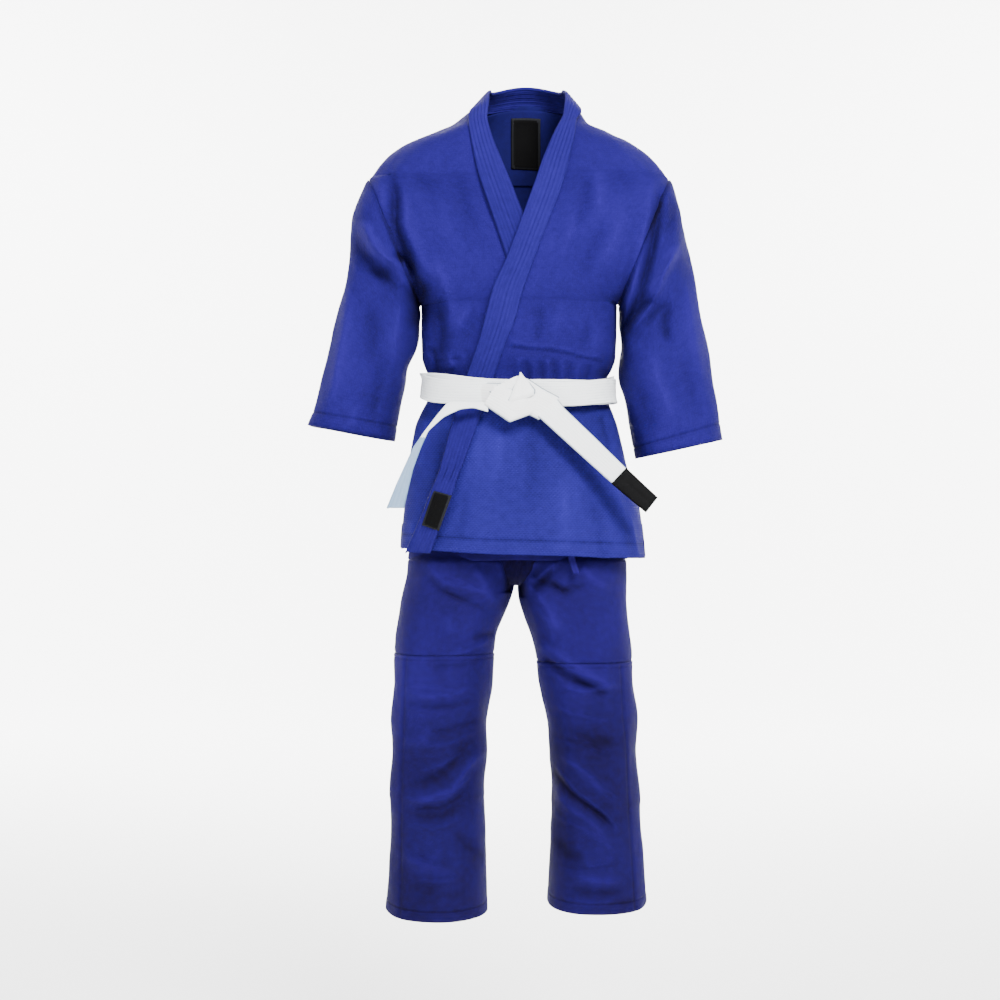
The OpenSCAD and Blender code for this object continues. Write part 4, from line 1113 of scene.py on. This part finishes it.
def leg(T, s, side, zend, seamz):
    def grid(z):
        P, f = tube(z, soft(z, T), soft(z, T, 2), soft(z, T, 3), res(180))
        top = ease((z + 700) / 45)[:, None]
        Qp, sh, nn = folds(P, 1.0)
        N = normals(P, True)
        cen = P.mean(1, keepdims=True)
        sg = 1 if ((P - cen) * N).sum(-1).mean() > 0 else -1
        Z = z[:, None]
        # crease from the knee patch seam and its lengthwise edge seam
        lift = .9 * ease((seamz - Z) / 2.0) * (P[..., 1] < 0) * ease((seamz - 232 - Z) * -1 / 8)
        seam = -1.3 * np.exp(-((Z - seamz) / 2.0) ** 2) * ease((-P[..., 1] + 30) / 40)
        seam2 = -.7 * np.exp(-((Z - seamz + 7) / 1.6) ** 2) * ease((-P[..., 1] + 30) / 40)
        vx = np.interp(Z, [-1260, seamz], [-s * -1 * 0 + cxv(T, s, -1260), cxv(T, s, seamz)])
        vert = -1.1 * np.exp(-((P[..., 0] - vx) / 2.2) ** 2) * (P[..., 1] < 0) * ease((seamz - Z) / 4)
        hem = -1.0 * np.exp(-((Z - (zend + 16)) / 1.6) ** 2) + .5 * ease((zend + 16 - Z) / 3)
        th = np.arctan2(P[..., 1], P[..., 0] - cen[..., 0])
        side_n = 2.2 * np.sin(Z / 19 + 2.0 * np.sin(th + s)) * (1 - ease((np.abs(P[..., 1]) - 20) / 40)) * np.exp(-((Z + 960) / 150) ** 2)
        Qp = Qp + sg * N * (nn * .9 + lift + seam + seam2 + vert + hem + side_n - 9 * ease((Z + 706) / 14) - 8 * ease((Z + 692) / 36))[..., None]
        shd = shade_of(sh, nn) + .07 * seam + .09 * seam2 + .09 * vert + .13 * np.minimum(0, hem)
        # the outer strip beside the knee patch catches more light, and painted shade darkens the leg towards the hem
        shd = shd + .07 * ((P[..., 0] - vx) * s > 0) * (Z < seamz) - .2 * ease((-850 - Z) / 200)
        # hem drops a little in front
        Qp[..., 2] += -np.interp(-P[..., 1], [-60, 0, 90], [-6, 0, 8]) * ease((-1100 - Z) / 146)
        return P, Qp, shd, sg

    def cxv(T, s, z):
        c, w = lk(z, T), lk(z, T, 2)
        return c + s * w * .72

    z1 = np.linspace(-646, seamz, res(100))
    z2 = np.concatenate([np.linspace(seamz, zend + 20, res(180)), zend + np.array([18, 17, 16, 15, 14, 9, 4, 0])])
    z2 = np.concatenate([[seamz, seamz - .8, seamz - 1.6, seamz - 3], np.linspace(seamz - 5, seamz - 9, 5), z2[z2 < seamz - 11]])
    P, Qp, shd, sg = grid(z1)
    # the top tucks up inside the hips' line
    a = cloth("trouser_leg_upper_" + side, Qp, 2.2, M_TROUSER, closed=True, flip=sg < 0, base=P, shade=shd)
    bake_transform(a)
    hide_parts("thigh_" + side)
    P, Qp, shd, sg = grid(z2)
    b = cloth("trouser_leg_lower_" + side, Qp, 2.2, M_TROUSER, closed=True, flip=sg < 0, base=P, shade=shd)
    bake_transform(b)
    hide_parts("shin_" + side, "knee_patch_%s_upper" % side, "knee_patch_%s_lower" % side)
    k = z2 < zend + 19
    Nn = normals(Qp, True)[k] * sg
    h = cloth("trouser_hem_" + side, Qp[k] - Nn * 2.4, 1.2, M_TROUSER, closed=True, flip=sg < 0, base=Qp[k])
    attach(h, "shin_" + side)
    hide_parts("hem_" + side)


leg(LEG_L, 1, "left", -1246, -863)
leg(LEG_R, -1, "right", -1258, -851)

# drawstring: the end that hangs below the jacket's hem, and the bow's other end above it
DA = [[4, -92, -429], [14, -95, -450], [32, -102, -500], [50, -110.5, -560], [66, -117, -620], [76, -121.5, -680], [82, -123, -704], [88, -124, -722]]
DB = [[-12, -92, -429], [-20, -95, -450], [-34, -102, -500], [-44, -109.5, -560], [-48, -113, -600]]


def strip(name, L, w):
    L = np.array(L, float)
    return ruled(name, L - [w / 2, 0, 0], L + [w / 2, 0, 0], 1.6, M_TROUSER, m=10, rnd=.5, steps=res(90), rows=2, thick_mid=.3)


ds = join_panels("drawstring_ends", [strip("ds1", DA, 11.5), strip("ds2", DB, 11.5), ruled("ds3", [[-34, -92.5, -416], [-18, -93.4, -414], [10, -93.4, -414], [28, -92.8, -416]], [[-34, -92.5, -428], [-18, -93.4, -426], [10, -93.4, -426], [28, -92.8, -428]], 1.6, M_TROUSER, m=10, rnd=.5, steps=40, rows=2, thick_mid=.3)])
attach(ds, "trousers")
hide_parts("drawstring")


# ------------------------------------------------------------------ floor, light, camera
def plain(name, c, r=.9):
    m = bpy.data.materials.new(name)
    m.use_nodes = True
    b = m.node_tree.nodes["Principled BSDF"]
    b.inputs["Base Color"].default_value = c
    b.inputs["Roughness"].default_value = r
    b.inputs["Specular IOR Level"].default_value = .1
    return m


prof = [(-12.0, -1.62), (6.5, -1.62)] + [(6.5 + 2.2 * math.sin(a), .58 - 2.2 * math.cos(a)) for a in np.linspace(.05, math.pi / 2, 16)] + [(8.7, 7.0)]
vs, fs = [], []
for y, zf_ in prof:
    vs += [(-12, y, zf_), (12, y, zf_)]
for i in range(len(prof) - 1):
    fs.append((2 * i, 2 * i + 1, 2 * i + 3, 2 * i + 2))
me = bpy.data.meshes.new("floor")
me.from_pydata(vs, [], fs)
for p in me.polygons:
    p.use_smooth = True
me.materials.append(plain("floor_pale", (.97, .97, .97, 1)))
floor = bpy.data.objects.new("floor", me)
bpy.context.collection.objects.link(floor)


def area(name, loc, target, size, power, colr=(1, 1, 1)):
    d = bpy.data.lights.new(name, "AREA")
    d.shape = "RECTANGLE"
    d.size, d.size_y = size
    d.energy = power
    d.color = colr
    o = bpy.data.objects.new(name, d)
    o.location = loc
    o.rotation_euler = (Vector(target) - Vector(loc)).to_track_quat("-Z", "Y").to_euler()
    bpy.context.collection.objects.link(o)
    return o


area("key", (1.0, -2.7, 1.7), (0, 0, -.55), (1.3, 1.3), 350)
area("fill", (-2.5, -2.5, .3), (0, 0, -.6), (1.6, 2.0), 72)
area("back_wall_left", (-4.6, 4.6, 2.2), (0, 8.6, .6), (2.4, 2.4), 1300)
area("back_wall_right", (4.6, 4.6, 2.2), (0, 8.6, .6), (2.4, 2.4), 1300)
area("floor_wash", (0, 4.6, 3.4), (0, 4.4, -1.3), (6.0, 3.6), 520)
area("back_soft", (0, 3.6, 2.4), (0, 0, -.6), (1.6, 1.2), 120)
w = bpy.data.worlds.new("studio")
w.use_nodes = True
w.node_tree.nodes["Background"].inputs[0].default_value = (1, 1, 1, 1)
w.node_tree.nodes["Background"].inputs[1].default_value = .82
bpy.context.scene.world = w
cam = bpy.data.objects.new("camera", bpy.data.cameras.new("camera"))
cam.data.sensor_width = 36
cam.data.lens = 72
cam.location = (-.030, -3.2, -.608)
cam.rotation_euler = (math.pi / 2, 0, 0)
bpy.context.collection.objects.link(cam)
bpy.context.scene.camera = cam
